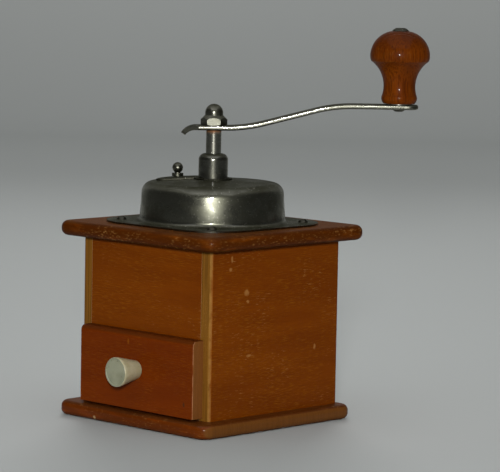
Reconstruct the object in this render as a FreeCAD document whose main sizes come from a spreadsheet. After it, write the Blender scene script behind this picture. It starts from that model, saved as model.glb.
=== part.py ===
import FreeCAD, Part
import math
import os
import re
import Sketcher
from FreeCAD import Placement, Rotation, Vector

# Box coffee mill with a side crank.
# Millimetres, +Z up. The origin lies under the crank shaft, on the underside of the base board.
# The drawer faces -Y, and the crank turns about the Z axis.

SIZES = {
    # wooden box
    "box_width": 100.0,
    "box_depth": 100.0,
    "box_height": 91.5,
    "wall_thickness": 7.2,
    "box_corner_radius": 2.0,
    # base board and top board
    "base_thickness": 8.0,
    "base_side_overhang": 8.5,
    "base_front_overhang": 11.9,
    "base_rear_overhang": 4.9,
    "base_edge_radius": 3.2,
    "top_thickness": 8.1,
    "top_overhang": 11.0,
    "top_edge_radius": 3.6,
    "board_corner_radius": 8.0,
    # base screws, driven up into the side walls
    "base_screw_radius": 1.6,
    "base_screw_head_radius": 3.2,
    "base_screw_head_height": 2.0,
    "base_screw_grip": 16.0,
    "base_screw_inset": 15.0,
    # drawer
    "drawer_front_lap": 1.3,
    "drawer_front_shift": 1.0,
    "drawer_front_thickness": 7.4,
    "drawer_front_gap": 0.2,
    "drawer_front_height": 41.9,
    "drawer_front_lift": 1.4,
    "drawer_top_gap": 2.0,
    "drawer_side_gap": 0.3,
    "drawer_runner_gap": 0.3,
    "drawer_back_gap": 5.0,
    "drawer_top_round": 3.0,
    "drawer_arris": 0.5,
    "drawer_board": 5.0,
    "drawer_side_drop": 6.0,
    "drawer_back_drop": 6.0,
    "drawer_bottom_thickness": 3.0,
    "drawer_bottom_lift": 1.5,
    # drawer knob and its screw
    "drawer_knob_height": 31.2,
    "drawer_knob_length": 15.3,
    "drawer_knob_rim": 2.6,
    "drawer_knob_radius": 8.1,
    "drawer_knob_dish": 0.5,
    "drawer_knob_rim_width": 1.4,
    "drawer_knob_foot_radius": 5.0,
    "drawer_knob_flare": 45.0,
    "drawer_knob_edge": 0.9,
    "knob_screw_radius": 1.6,
    "knob_screw_bite": 9.0,
    "knob_screw_head_radius": 3.6,
    "knob_screw_head_height": 1.9,
    # hopper dome
    "dome_sheet": 1.0,
    "dome_flange_size": 97.0,
    "dome_flange_corner": 25.0,
    "dome_radius": 40.3,
    "dome_draft": 4.0,
    "dome_height": 23.9,
    "dome_crown": 1.8,
    "dome_hub_radius": 11.0,
    "dome_shoulder_radius": 6.0,
    "dome_foot_radius": 2.5,
    "fill_inner_radius": 13.0,
    "fill_outer_radius": 28.0,
    "fill_half_angle": 38.0,
    "fill_direction": 180.0,
    # dome screws
    "dome_screw_count": 4,
    "dome_screw_angle": 45.0,
    "dome_screw_reach": 50.0,
    "dome_screw_radius": 1.5,
    "dome_screw_head_radius": 2.9,
    "dome_screw_head_height": 1.7,
    "dome_screw_grip": 6.0,
    # fill hatch
    "hatch_radius": 31.5,
    "hatch_half_angle": 48.0,
    "hatch_thickness": 0.7,
    "hatch_gap": 0.1,
    "hatch_hub_radius": 10.6,
    "hatch_corner_radius": 4.0,
    "hatch_knob_reach": 28.0,
    "hatch_rivet_radius": 1.4,
    "hatch_collar_radius": 3.2,
    "hatch_collar_height": 1.6,
    "hatch_neck_radius": 1.6,
    "hatch_neck_height": 0.5,
    "hatch_ball_radius": 3.0,
    # bearing sleeve
    "sleeve_radius": 8.1,
    "sleeve_height": 13.4,
    "sleeve_top_round": 3.4,
    "sleeve_spigot_radius": 6.2,
    "sleeve_lip_radius": 8.0,
    "sleeve_lip_thickness": 1.0,
    # shaft
    "shaft_radius": 4.2,
    "shaft_show": 12.9,
    "shaft_square": 5.8,
    "shaft_thread_radius": 2.7,
    "shaft_thread_length": 7.0,
    "running_clearance": 0.05,
    "seat_clearance": 0.03,
    # crank arm
    "crank_angle": 44.3,
    "arm_thickness": 2.7,
    "arm_width": 12.0,
    "arm_root": 6.6,
    "arm_rise": 13.1,
    "arm_slope": 15.0,
    "arm_bend_radius": 80.0,
    "arm_reach": 101.4,
    "arm_end": 10.6,
    "arm_end_round": 5.6,
    "arm_edge_round": 1.0,
    "arm_taper": 8.2,
    "arm_tail": 10.2,
    "arm_tail_curl": 57.0,
    "arm_tail_radius": 8.0,
    "arm_tail_width": 6.0,
    "arm_tail_round": 2.6,
    # cap nut
    "nut_flats": 12.7,
    "nut_hex_height": 5.5,
    "nut_chamfer": 2.4,
    "nut_foot_chamfer": 0.5,
    "nut_cap_radius": 5.0,
    "nut_height": 11.7,
    # crank knob, its washer and its rivet
    "knob_washer_radius": 6.5,
    "knob_washer_thickness": 0.5,
    "knob_end_play": 0.1,
    "knob_foot_radius": 8.6,
    "knob_bead_radius": 9.4,
    "knob_bead_height": 4.8,
    "knob_bead_curve": 4.2,
    "knob_lip_radius": 15.8,
    "knob_flare_height": 18.4,
    "knob_flare_curve": 16.8,
    "knob_radius": 16.4,
    "knob_lip_height": 2.8,
    "knob_lip_curve": 6.8,
    "knob_crown_radius": 4.9,
    "knob_crown_height": 13.6,
    "knob_crown_curve": 13.8,
    "rivet_radius": 2.5,
    "rivet_head_radius": 4.7,
    "rivet_head_height": 1.7,
    "rivet_peen_radius": 3.6,
    "rivet_peen_height": 1.2,
    # burr housing
    "housing_rim_width": 4.9,
    "housing_rim_thickness": 1.8,
    "housing_mouth_radius": 29.0,
    "housing_throat": 12.6,
    "housing_wall": 2.6,
    "housing_lip": 2.0,
    "housing_lip_width": 3.2,
    "housing_hole_gap": 0.5,
    "housing_screw_radius": 1.3,
    "housing_screw_head_radius": 2.4,
    "housing_screw_head_height": 1.4,
    "housing_screw_grip": 5.0,
    "housing_screw_count": 3,
    "housing_screw_angle": 90.0,
    # outer burr
    "ring_radius": 24.0,
    "ring_height": 18.0,
    "ring_entry_radius": 23.0,
    "ring_entry_depth": 4.0,
    "ring_throat_radius": 20.2,
    "ring_outlet_radius": 18.4,
    # inner burr
    "cone_height": 22.0,
    "cone_land": 2.0,
    "cone_drop": 1.0,
    "burr_gap": 0.9,
    "cone_top_radius": 8.6,
    # teeth of both burrs
    "breaker_count": 6,
    "breaker_cone_depth": 3.4,
    "breaker_ring_depth": 2.1,
    "breaker_half_width": 3.4,
    "breaker_run": 13.0,
    "breaker_cone_twist": 46.0,
    "breaker_ring_twist": -23.0,
    "tooth_count": 22,
    "tooth_depth": 1.5,
    "tooth_half_width": 1.9,
    "tooth_run": 9.5,
    "tooth_cone_twist": 9.0,
    "tooth_ring_twist": -9.0,
    "groove_fade": 0.15,
    "breaker_overrun": 2.6,
    "tooth_overrun": 0.7,
    # nut under the inner burr
    "burr_nut_flats": 10.5,
    "burr_nut_height": 4.2,
    # bridge, posts and adjusting screw
    "post_reach": 25.4,
    "post_radius": 4.0,
    "post_length": 9.0,
    "bridge_thickness": 5.5,
    "bridge_width": 9.0,
    "bridge_boss_radius": 8.0,
    "bridge_screw_radius": 2.0,
    "bridge_screw_head_radius": 3.4,
    "bridge_screw_head_height": 2.8,
    "bridge_screw_bite": 7.0,
    "adjuster_radius": 3.0,
    "adjuster_above": 2.0,
    "adjuster_below": 2.2,
    "wheel_radius": 11.0,
    "wheel_thickness": 5.0,
    "wheel_notch_count": 14,
    "wheel_notch_radius": 1.4,
    "ball_radius": 2.0,
    "ball_pocket_depth": 3.0,
    # screwdriver slots
    "slot_width": 0.9,
    "slot_depth": 0.7,
}

# Largest share of a board's thickness that the round on one of its edges may take.
ROUND_SHARE = 0.45
TOLERANCE = 1e-4

# Places that several pieces share, as sums of the sizes above.
HALF_WIDTH = "(box_width / 2)"
HALF_DEPTH = "(box_depth / 2)"
INSIDE_WIDTH = f"({HALF_WIDTH} - wall_thickness)"
INSIDE_DEPTH = f"({HALF_DEPTH} - wall_thickness)"
BOX_TOP = "(base_thickness + box_height)"
TOP_FACE = f"({BOX_TOP} + top_thickness)"
WALL_MIDDLE = f"({HALF_WIDTH} - wall_thickness / 2)"
BASE_SCREW_Y = f"({HALF_DEPTH} - base_screw_inset)"

DRAWER_FRONT_REAR = f"(-{HALF_DEPTH} - drawer_front_gap)"
DRAWER_FACE = f"({DRAWER_FRONT_REAR} - drawer_front_thickness)"
DRAWER_FRONT_HALF = f"({INSIDE_WIDTH} + drawer_front_lap)"
DRAWER_FRONT_LEFT = f"(drawer_front_shift - {DRAWER_FRONT_HALF})"
DRAWER_FRONT_RIGHT = f"(drawer_front_shift + {DRAWER_FRONT_HALF})"
DRAWER_HALF = f"({INSIDE_WIDTH} - drawer_side_gap)"
DRAWER_INSIDE = f"({DRAWER_HALF} - drawer_board)"
DRAWER_REAR = f"({INSIDE_DEPTH} - drawer_back_gap)"
DRAWER_FRONT_FLOOR = "(base_thickness + drawer_front_lift)"
DRAWER_FRONT_TOP = f"({DRAWER_FRONT_FLOOR} + drawer_front_height)"
DRAWER_FLOOR = "(base_thickness + drawer_runner_gap)"
DRAWER_SIDE_TOP = f"({DRAWER_FRONT_TOP} - drawer_side_drop)"
DRAWER_BACK_TOP = f"({DRAWER_SIDE_TOP} - drawer_back_drop)"
DRAWER_BOTTOM = f"({DRAWER_FLOOR} + drawer_bottom_lift)"
DRAWER_BOTTOM_TOP = f"({DRAWER_BOTTOM} + drawer_bottom_thickness)"
OPENING_TOP = f"({DRAWER_SIDE_TOP} + drawer_top_gap)"

FLANGE_TOP = f"({TOP_FACE} + dome_sheet)"
DOME_TOP = f"({TOP_FACE} + dome_height)"
DOME_UNDER = f"({DOME_TOP} - dome_sheet)"
DOME_RIM = f"({DOME_TOP} - dome_crown)"
DOME_RIM_UNDER = f"({DOME_RIM} - dome_sheet)"
DOME_SHOULDER = "(dome_radius - tan(dome_draft) * (dome_height - dome_crown - dome_sheet))"
DOME_FALL = f"(dome_crown / ({DOME_SHOULDER} - dome_hub_radius))"
HATCH_UNDER = f"({DOME_TOP} + hatch_gap)"
HATCH_TOP = f"({HATCH_UNDER} + hatch_thickness)"
SLEEVE_FOOT = f"({HATCH_TOP} + hatch_gap)"
SLEEVE_TOP = f"({SLEEVE_FOOT} + sleeve_height)"
SLEEVE_BORE = "(shaft_radius + running_clearance)"

ARM_SEAT = f"({SLEEVE_TOP} + shaft_show)"
ARM_TOP = f"({ARM_SEAT} + arm_thickness)"
ARM_HIGH = f"({ARM_SEAT} + arm_rise)"
ARM_HIGH_TOP = f"({ARM_HIGH} + arm_thickness)"
KNOB_FOOT = f"({ARM_HIGH_TOP} + knob_washer_thickness + knob_end_play)"
KNOB_BEAD = f"({KNOB_FOOT} + knob_bead_height)"
KNOB_LIP = f"({KNOB_BEAD} + knob_flare_height)"
KNOB_BELLY = f"({KNOB_LIP} + knob_lip_height)"
KNOB_TOP = f"({KNOB_BELLY} + knob_crown_height)"
RIVET_SEAT = f"({KNOB_TOP} + knob_end_play)"
KNOB_X = "(arm_reach * cos(crank_angle))"
KNOB_Y = "(arm_reach * sin(crank_angle))"

RIM_TOP = f"({TOP_FACE} + housing_rim_thickness)"
SEAT_RADIUS = "(ring_radius + seat_clearance)"
SEAT_OUTSIDE = f"({SEAT_RADIUS} + housing_wall)"
MOUTH_OUTSIDE = "(housing_mouth_radius + housing_wall)"
MECHANISM_HOLE = f"({MOUTH_OUTSIDE} + housing_hole_gap)"
RIM_RADIUS = f"({MECHANISM_HOLE} + housing_rim_width)"
HOUSING_SCREW_REACH = f"({MECHANISM_HOLE} + housing_rim_width / 2)"
RING_TOP = f"({TOP_FACE} - housing_throat)"
RING_BOTTOM = f"({RING_TOP} - ring_height)"
HOUSING_BOTTOM = f"({RING_BOTTOM} - housing_lip)"
CONE_BOTTOM = f"({RING_BOTTOM} + cone_drop)"
CONE_TOP = f"({CONE_BOTTOM} + cone_height)"
CONE_RADIUS = "(ring_outlet_radius - burr_gap)"
NUT_BOTTOM = f"({CONE_BOTTOM} - burr_nut_height)"
BRIDGE_TOP = f"({HOUSING_BOTTOM} - post_length)"
BRIDGE_BOTTOM = f"({BRIDGE_TOP} - bridge_thickness)"
ADJUSTER_TOP = f"({BRIDGE_TOP} + adjuster_above)"
WHEEL_TOP = f"({BRIDGE_BOTTOM} - adjuster_below)"
WHEEL_BOTTOM = f"({WHEEL_TOP} - wheel_thickness)"
BALL_CENTRE = f"({ADJUSTER_TOP} + running_clearance + ball_radius)"
BALL_CEILING = f"({BALL_CENTRE} + ball_radius + running_clearance)"
SHAFT_BOTTOM = f"({BALL_CEILING} - ball_pocket_depth)"
THREAD_BORE = "(shaft_thread_radius + seat_clearance)"

doc = FreeCAD.newDocument("coffee_mill")
sizes = doc.addObject("Spreadsheet::Sheet", "sizes")
parts = []


def fill_sheet():
    """Write every driving dimension in a cell of its own, under its name."""
    for row, (name, value) in enumerate(SIZES.items(), 1):
        sizes.set(f"A{row}", name)
        sizes.set(f"B{row}", str(value))
        sizes.setAlias(f"B{row}", name)
    doc.recompute()


fill_sheet()


def number(expression):
    """The value of an expression in the sheet's names."""
    return float(sizes.evalExpression(expression))


def bind(expression):
    """The same expression as another object of the document has to write it."""
    return re.sub(r"[a-z]\w*", lambda word: f"sizes.{word[0]}" if word[0] in SIZES else word[0], expression)


def kept_within(radius, thickness):
    """A round that is never more than its share of the wall it is cut in."""
    return f"min({radius}; {ROUND_SHARE} * {thickness})"


def new_body(label):
    body = doc.addObject("PartDesign::Body", label)
    body.Label = label
    return body


def new_part(label):
    body = new_body(label)
    parts.append(body)
    return body


def place(body, across, along, up="0"):
    """Put a body's own origin at a point."""
    for axis, expression in zip("xyz", (across, along, up)):
        body.setExpression(f"Placement.Base.{axis}", bind(expression))


def turn(body, angle):
    """Turn a body about Z."""
    body.Placement = Placement(Vector(), Rotation(Vector(0, 0, 1), number(angle)))
    body.setExpression("Placement.Rotation.Angle", bind(angle))


def origin_item(body, role):
    return next(item for item in body.Origin.OriginFeatures if item.Role == role)


def new_sketch(body, role, offset="0", twist="0"):
    """A sketch on one of the body's own planes, moved along its normal and turned in its plane."""
    sketch = body.newObject("Sketcher::SketchObject", f"{body.Name}_sketch")
    sketch.AttachmentSupport = [(origin_item(body, role), "")]
    sketch.MapMode = "FlatFace"
    sketch.AttachmentOffset = Placement(Vector(), Rotation(Vector(0, 0, 1), number(twist)))
    sketch.setExpression("AttachmentOffset.Base.z", bind(offset))
    sketch.setExpression("AttachmentOffset.Rotation.Angle", bind(twist))
    return sketch


def drive(sketch, constraint, expression):
    """Add a dimension that follows an expression."""
    index = sketch.addConstraint(constraint)
    name = f"size{index}"
    sketch.renameConstraint(index, name)
    sketch.setExpression(f"Constraints.{name}", bind(expression))


def hold(sketch, geometry, end, across, up):
    """Dimension one end of a curve from the sketch's origin."""
    drive(sketch, Sketcher.Constraint("DistanceX", -1, 1, geometry, end, number(across)), across)
    drive(sketch, Sketcher.Constraint("DistanceY", -1, 1, geometry, end, number(up)), up)


def arc_between(start, finish, radius):
    """The short arc from start to finish, and which of its ends it starts at.
    It runs counter-clockwise for a radius above zero."""
    chord = finish - start
    left = Vector(-chord.y, chord.x, 0).normalize()
    height = math.sqrt(radius**2 - chord.Length**2 / 4)
    centre = (start + finish) / 2 + left * math.copysign(height, radius)
    circle = Part.Circle(centre, Vector(0, 0, 1), abs(radius))
    first, last = (start, finish) if radius > 0 else (finish, start)
    angles = [math.atan2(point.y - centre.y, point.x - centre.x) for point in (first, last)]
    return Part.ArcOfCircle(circle, *angles), 1 if radius > 0 else 2


def add_outline(sketch, points):
    """A closed outline through points of two expressions.
    A third expression makes the stretch up to that point an arc of that radius, clockwise below zero."""
    spots = [Vector(number(point[0]), number(point[1]), 0) for point in points]
    stretches = []
    for index, point in enumerate(points):
        start, finish = spots[index - 1], spots[index]
        curve, first = Part.LineSegment(start, finish), 1
        if len(point) == 3:
            curve, first = arc_between(start, finish, number(point[2]))
        stretches.append((sketch.addGeometry(curve, False), first, 3 - first))
    for index, point in enumerate(points):
        geometry, _, last = stretches[index]
        following, first, _ = stretches[(index + 1) % len(points)]
        sketch.addConstraint(Sketcher.Constraint("Coincident", geometry, last, following, first))
        hold(sketch, geometry, last, point[0], point[1])
        if len(point) == 3:
            drive(sketch, Sketcher.Constraint("Radius", geometry, abs(number(point[2]))), f"abs({point[2]})")


def add_rectangle(sketch, left, low, right, high):
    add_outline(sketch, [(left, low), (right, low), (right, high), (left, high)])


def add_circle(sketch, across, up, radius):
    circle = Part.Circle(Vector(number(across), number(up), 0), Vector(0, 0, 1), number(radius))
    geometry = sketch.addGeometry(circle, False)
    hold(sketch, geometry, 3, across, up)
    drive(sketch, Sketcher.Constraint("Radius", geometry, number(radius)), radius)


def add_sector(sketch, inner, outer, middle, half):
    """A piece of a ring between two angles about the sketch's origin."""
    low, high = f"({middle} - {half})", f"({middle} + {half})"
    add_outline(sketch, [
        (f"{inner} * cos({low})", f"{inner} * sin({low})", f"-{inner}"),
        (f"{outer} * cos({low})", f"{outer} * sin({low})"),
        (f"{outer} * cos({high})", f"{outer} * sin({high})", outer),
        (f"{inner} * cos({high})", f"{inner} * sin({high})"),
    ])


def add_hexagon(sketch, flats):
    """A hexagon about the sketch's origin, with two corners on its first axis."""
    corner = f"{flats} / sqrt(3)"
    angles = [360 / 6 * side for side in range(6)]
    add_outline(sketch, [(f"{corner} * cos({angle})", f"{corner} * sin({angle})") for angle in angles])


def grown(body, kind, sketch, length=None, backward=False):
    """A pad or a revolution, added to the body."""
    feature = body.newObject(f"PartDesign::{kind}", f"{body.Name}_{kind}")
    feature.Profile = sketch
    if kind == "Revolution":
        feature.ReferenceAxis = (sketch, ["V_Axis"])
        feature.Angle = 360
    else:
        feature.setExpression("Length", bind(length))
    feature.Reversed = backward
    doc.recompute()
    return feature


def pad(body, sketch, length, backward=False):
    return grown(body, "Pad", sketch, length, backward)


def revolve(body, points):
    """A turned solid about the body's Z axis, from an outline of radius and height."""
    sketch = new_sketch(body, "XZ_Plane")
    add_outline(sketch, points)
    return grown(body, "Revolution", sketch)


def check_cut(feature, volume):
    """Stop if a cut took nothing away."""
    doc.recompute()
    if feature.Shape.Volume > volume - TOLERANCE:
        raise RuntimeError(f"{feature.Name} cuts nothing")
    return feature


def pocket(body, sketch, length, upward=False):
    """Cut along the sketch's normal if upward, and against it otherwise."""
    volume = body.Tip.Shape.Volume
    feature = body.newObject("PartDesign::Pocket", f"{body.Name}_Pocket")
    feature.Profile = sketch
    feature.setExpression("Length", bind(length))
    feature.Reversed = upward
    return check_cut(feature, volume)


def groove(body, points):
    """A turned cut about the body's Z axis."""
    volume = body.Tip.Shape.Volume
    sketch = new_sketch(body, "XZ_Plane")
    add_outline(sketch, points)
    feature = body.newObject("PartDesign::Groove", f"{body.Name}_Groove")
    feature.Profile = sketch
    feature.ReferenceAxis = (sketch, ["V_Axis"])
    feature.Angle = 360
    return check_cut(feature, volume)


def round_edges(body, radius, test):
    """Round the edges of the body so far that pass a test."""
    doc.recompute()
    base = body.Tip
    names = [f"Edge{index}" for index, edge in enumerate(base.Shape.Edges, 1) if test(edge)]
    feature = body.newObject("PartDesign::Fillet", f"{body.Name}_Fillet")
    feature.Base = (base, names)
    feature.setExpression("Radius", bind(radius))
    doc.recompute()
    return feature


def around_axis(body, originals, count):
    """Repeat features evenly about the body's Z axis."""
    pattern = body.newObject("PartDesign::PolarPattern", f"{body.Name}_PolarPattern")
    pattern.Originals = originals
    pattern.Axis = (origin_item(body, "Z_Axis"), [""])
    pattern.Angle = 360
    pattern.setExpression("Occurrences", bind(count))
    body.Tip = pattern
    doc.recompute()
    return pattern


def close(value, wanted):
    return abs(value - wanted) < TOLERANCE


def upright(edge):
    """True for a straight edge along Z."""
    box = edge.BoundBox
    return close(box.XLength, 0) and close(box.YLength, 0)


def level_at(*heights):
    """A test for edges that lie flat at one of the heights."""
    wanted = [number(height) for height in heights]

    def test(edge):
        box = edge.BoundBox
        return close(box.ZLength, 0) and any(close(box.ZMin, height) for height in wanted)

    return test


def ring_at(radius, height):
    """A test for round edges about Z, of one radius at one height."""
    wanted, level = number(radius), number(height)

    def test(edge):
        round_edge = isinstance(edge.Curve, Part.Circle)
        return round_edge and close(edge.Curve.Radius, wanted) and close(edge.Curve.Center.z, level)

    return test


def board(label, left, right, front, rear, low, high):
    """A plain board between six planes."""
    body = new_part(label)
    sketch = new_sketch(body, "XY_Plane", low)
    add_rectangle(sketch, left, front, right, rear)
    pad(body, sketch, f"{high} - {low}")
    return body


def drill(body, spots, radius, mouth, depth, upward=False):
    """Round holes at several spots, from one level down or up."""
    sketch = new_sketch(body, "XY_Plane", mouth)
    for across, along in spots:
        add_circle(sketch, across, along, radius)
    return pocket(body, sketch, depth, upward)


def cut_slot(body, head_radius, top):
    """A screwdriver slot across a round head."""
    sketch = new_sketch(body, "XY_Plane", top)
    reach = f"({head_radius} + slot_width)"
    add_rectangle(sketch, f"-{reach}", "-slot_width / 2", reach, "slot_width / 2")
    return pocket(body, sketch, "slot_depth")


def screw_group(label, spots, make_screw):
    """Equal screws at several spots, kept as one group."""
    screws = []
    for index, (across, along) in enumerate(spots):
        body = new_body(f"{label}_{index}")
        make_screw(body)
        place(body, across, along)
        screws.append(body)
    group = doc.addObject("Part::Compound", label)
    group.Label = label
    group.Links = screws
    parts.append(group)


def polar_spots(reach, count, first):
    """Spots on a circle about the Z axis."""
    angles = [f"({first} + 360 / {count} * {index})" for index in range(round(number(count)))]
    return [(f"{reach} * cos({angle})", f"{reach} * sin({angle})") for angle in angles]


BASE_SCREW_SPOTS = [
    (f"{side}{WALL_MIDDLE}", f"{end}{BASE_SCREW_Y}") for side in ("-", "") for end in ("-", "")
]
DOME_SCREW_SPOTS = polar_spots("dome_screw_reach", "dome_screw_count", "dome_screw_angle")
HOUSING_SCREW_SPOTS = polar_spots(HOUSING_SCREW_REACH, "housing_screw_count", "housing_screw_angle")
POST_SPOTS = [("post_reach", "0"), ("-post_reach", "0")]


def make_base_plate():
    """Board with a well rounded edge, sunk for the four screws that hold the side walls."""
    half = f"({HALF_WIDTH} + base_side_overhang)"
    front = f"(-{HALF_DEPTH} - base_front_overhang)"
    rear = f"({HALF_DEPTH} + base_rear_overhang)"
    body = board("base_plate", f"-{half}", half, front, rear, "0", "base_thickness")
    round_edges(body, "board_corner_radius", upright)
    round_edges(body, kept_within("base_edge_radius", "base_thickness"), level_at("0", "base_thickness"))
    drill(body, BASE_SCREW_SPOTS, "base_screw_radius + seat_clearance", "0", "base_thickness", True)
    drill(body, BASE_SCREW_SPOTS, "base_screw_head_radius + seat_clearance", "0",
          "base_screw_head_height + slot_depth", True)


def make_base_screw(body):
    """Flat headed screw, sunk into the base board from below."""
    seat = "(base_screw_head_height + slot_depth)"
    tip = "(base_thickness + base_screw_grip)"
    revolve(body, [
        ("0", "slot_depth"),
        ("base_screw_head_radius", "slot_depth"),
        ("base_screw_head_radius", seat),
        ("base_screw_radius", seat),
        ("base_screw_radius", f"{tip} - 2 * base_screw_radius"),
        ("0", tip),
    ])


def make_side_walls():
    """Two boards that run the whole depth, so that their end grain shows at the front."""
    for label, side in (("left_wall", "-"), ("right_wall", "")):
        near, far = sorted((f"{side}{INSIDE_WIDTH}", f"{side}{HALF_WIDTH}"), key=number)
        body = board(label, near, far, f"-{HALF_DEPTH}", HALF_DEPTH, "base_thickness", BOX_TOP)
        outside = number(f"{side}{HALF_WIDTH}")
        round_edges(body, kept_within("box_corner_radius", "wall_thickness"),
                    lambda edge: upright(edge) and close(edge.BoundBox.XMin, outside))
        spots = [spot for spot in BASE_SCREW_SPOTS if number(spot[0]) * outside > 0]
        drill(body, spots, "base_screw_radius + seat_clearance", "base_thickness",
              "base_screw_grip + seat_clearance", True)


def make_cross_walls():
    """The rear wall, and the panel over the drawer."""
    board("rear_wall", f"-{INSIDE_WIDTH}", INSIDE_WIDTH, INSIDE_DEPTH, HALF_DEPTH, "base_thickness", BOX_TOP)
    board("front_panel", f"-{INSIDE_WIDTH}", INSIDE_WIDTH, f"-{HALF_DEPTH}", f"-{INSIDE_DEPTH}",
          OPENING_TOP, BOX_TOP)


def make_top_plate():
    """Board with rounded edges and a hole for the burr housing."""
    half_x = f"({HALF_WIDTH} + top_overhang)"
    half_y = f"({HALF_DEPTH} + top_overhang)"
    body = board("top_plate", f"-{half_x}", half_x, f"-{half_y}", half_y, BOX_TOP, TOP_FACE)
    round_edges(body, "board_corner_radius", upright)
    round_edges(body, kept_within("top_edge_radius", "top_thickness"), level_at(BOX_TOP, TOP_FACE))
    drill(body, [("0", "0")], MECHANISM_HOLE, TOP_FACE, "top_thickness")
    drill(body, DOME_SCREW_SPOTS, "dome_screw_radius + seat_clearance", TOP_FACE,
          "dome_screw_grip + seat_clearance")
    drill(body, HOUSING_SCREW_SPOTS, "housing_screw_radius + seat_clearance", TOP_FACE,
          "housing_screw_grip + seat_clearance")


def make_drawer():
    """A front that laps over the box, two sides that run on the base board, a back and a bottom."""
    body = board("drawer_front", DRAWER_FRONT_LEFT, DRAWER_FRONT_RIGHT, DRAWER_FACE, DRAWER_FRONT_REAR,
                 DRAWER_FRONT_FLOOR, DRAWER_FRONT_TOP)
    face, top = number(DRAWER_FACE), number(DRAWER_FRONT_TOP)

    def on_face(edge):
        return close(edge.BoundBox.YMin, face) and close(edge.BoundBox.YMax, face)

    round_edges(body, f"min(drawer_top_round; 2 * {ROUND_SHARE} * drawer_front_thickness)",
                lambda edge: on_face(edge) and close(edge.BoundBox.ZMin, top))
    round_edges(body, "drawer_arris", lambda edge: on_face(edge) and upright(edge))
    hole = new_sketch(body, "XZ_Plane", f"-{DRAWER_FACE}")
    add_circle(hole, "drawer_front_shift", "drawer_knob_height", "knob_screw_radius + seat_clearance")
    pocket(body, hole, "drawer_front_thickness")
    for label, side in (("drawer_left_side", "-"), ("drawer_right_side", "")):
        near, far = sorted((f"{side}{DRAWER_INSIDE}", f"{side}{DRAWER_HALF}"), key=number)
        board(label, near, far, DRAWER_FRONT_REAR, DRAWER_REAR, DRAWER_FLOOR, DRAWER_SIDE_TOP)
    board("drawer_back", f"-{DRAWER_INSIDE}", DRAWER_INSIDE, f"({DRAWER_REAR} - drawer_board)", DRAWER_REAR,
          DRAWER_FLOOR, DRAWER_BACK_TOP)
    board("drawer_bottom", f"-{DRAWER_INSIDE}", DRAWER_INSIDE, DRAWER_FRONT_REAR,
          f"({DRAWER_REAR} - drawer_board)", DRAWER_BOTTOM, DRAWER_BOTTOM_TOP)


def face_forward(body, along):
    """Lay a turned piece on its side, with its own Z towards the front, at the height of the drawer knob."""
    body.Placement = Placement(Vector(), Rotation(Vector(1, 0, 0), 90))
    place(body, "drawer_front_shift", along, "drawer_knob_height")


def make_drawer_knob():
    """Flared knob with a raised rim round its face, held by a screw from inside the drawer."""
    body = new_part("drawer_knob")
    bore = "(knob_screw_radius + seat_clearance)"
    rim = "(drawer_knob_length - drawer_knob_rim)"
    depth = "(knob_screw_bite + seat_clearance)"
    dish = "(drawer_knob_length - drawer_knob_dish)"
    dish_radius = "(drawer_knob_radius - drawer_knob_rim_width)"
    revolve(body, [
        ("0", dish),
        ("0", depth),
        (bore, depth),
        (bore, "0"),
        ("drawer_knob_foot_radius", "0"),
        ("drawer_knob_radius", rim, "-drawer_knob_flare"),
        ("drawer_knob_radius", "drawer_knob_length"),
        (dish_radius, "drawer_knob_length"),
        (dish_radius, dish),
    ])
    edge = kept_within("drawer_knob_edge", "drawer_knob_rim")
    round_edges(body, kept_within(edge, "2 * drawer_knob_rim_width"),
                ring_at("drawer_knob_radius", "drawer_knob_length"))
    face_forward(body, DRAWER_FACE)
    screw = new_part("drawer_knob_screw")
    tip = "(drawer_front_thickness + knob_screw_bite)"
    revolve(screw, [
        ("0", "-knob_screw_head_height"),
        ("knob_screw_head_radius", "-knob_screw_head_height"),
        ("knob_screw_head_radius", "0"),
        ("knob_screw_radius", "0"),
        ("knob_screw_radius", f"{tip} - 2 * knob_screw_radius"),
        ("0", tip),
    ])
    face_forward(screw, DRAWER_FRONT_REAR)


def make_dome():
    """Pressed hopper with a square flange and a fill opening in its top, which falls away from a flat hub."""
    body = new_part("hopper_dome")
    flange_ring = "(dome_radius + 2 * dome_foot_radius)"
    hole = "(sleeve_spigot_radius + seat_clearance)"
    revolve(body, [
        (hole, DOME_UNDER),
        ("dome_hub_radius", DOME_UNDER),
        (f"{DOME_SHOULDER} - dome_sheet", DOME_RIM_UNDER),
        ("dome_radius - dome_sheet", TOP_FACE),
        (flange_ring, TOP_FACE),
        (flange_ring, FLANGE_TOP),
        ("dome_radius", FLANGE_TOP),
        (DOME_SHOULDER, DOME_RIM),
        ("dome_hub_radius", DOME_TOP),
        (hole, DOME_TOP),
    ])
    round_edges(body, "dome_foot_radius", ring_at("dome_radius", FLANGE_TOP))
    round_edges(body, "dome_shoulder_radius", ring_at(DOME_SHOULDER, DOME_RIM))
    round_edges(body, "dome_shoulder_radius - dome_sheet",
                ring_at(f"{DOME_SHOULDER} - dome_sheet", DOME_RIM_UNDER))
    flange = new_sketch(body, "XY_Plane", TOP_FACE)
    half, corner = "dome_flange_size / 2", "(dome_flange_size / 2 - dome_flange_corner)"
    add_outline(flange, [
        (f"-{corner}", f"-{half}", "dome_flange_corner"),
        (corner, f"-{half}"),
        (half, f"-{corner}", "dome_flange_corner"),
        (half, corner),
        (corner, half, "dome_flange_corner"),
        (f"-{corner}", half),
        (f"-{half}", corner, "dome_flange_corner"),
        (f"-{half}", f"-{corner}"),
    ])
    add_circle(flange, "0", "0", "dome_radius + dome_foot_radius")
    pad(body, flange, "dome_sheet")
    drill(body, DOME_SCREW_SPOTS, "dome_screw_radius + seat_clearance", FLANGE_TOP, "dome_sheet")
    mouth = new_sketch(body, "XY_Plane", DOME_TOP)
    add_sector(mouth, "fill_inner_radius", "fill_outer_radius", "fill_direction", "fill_half_angle")
    pocket(body, mouth, "dome_sheet + dome_crown")


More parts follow.
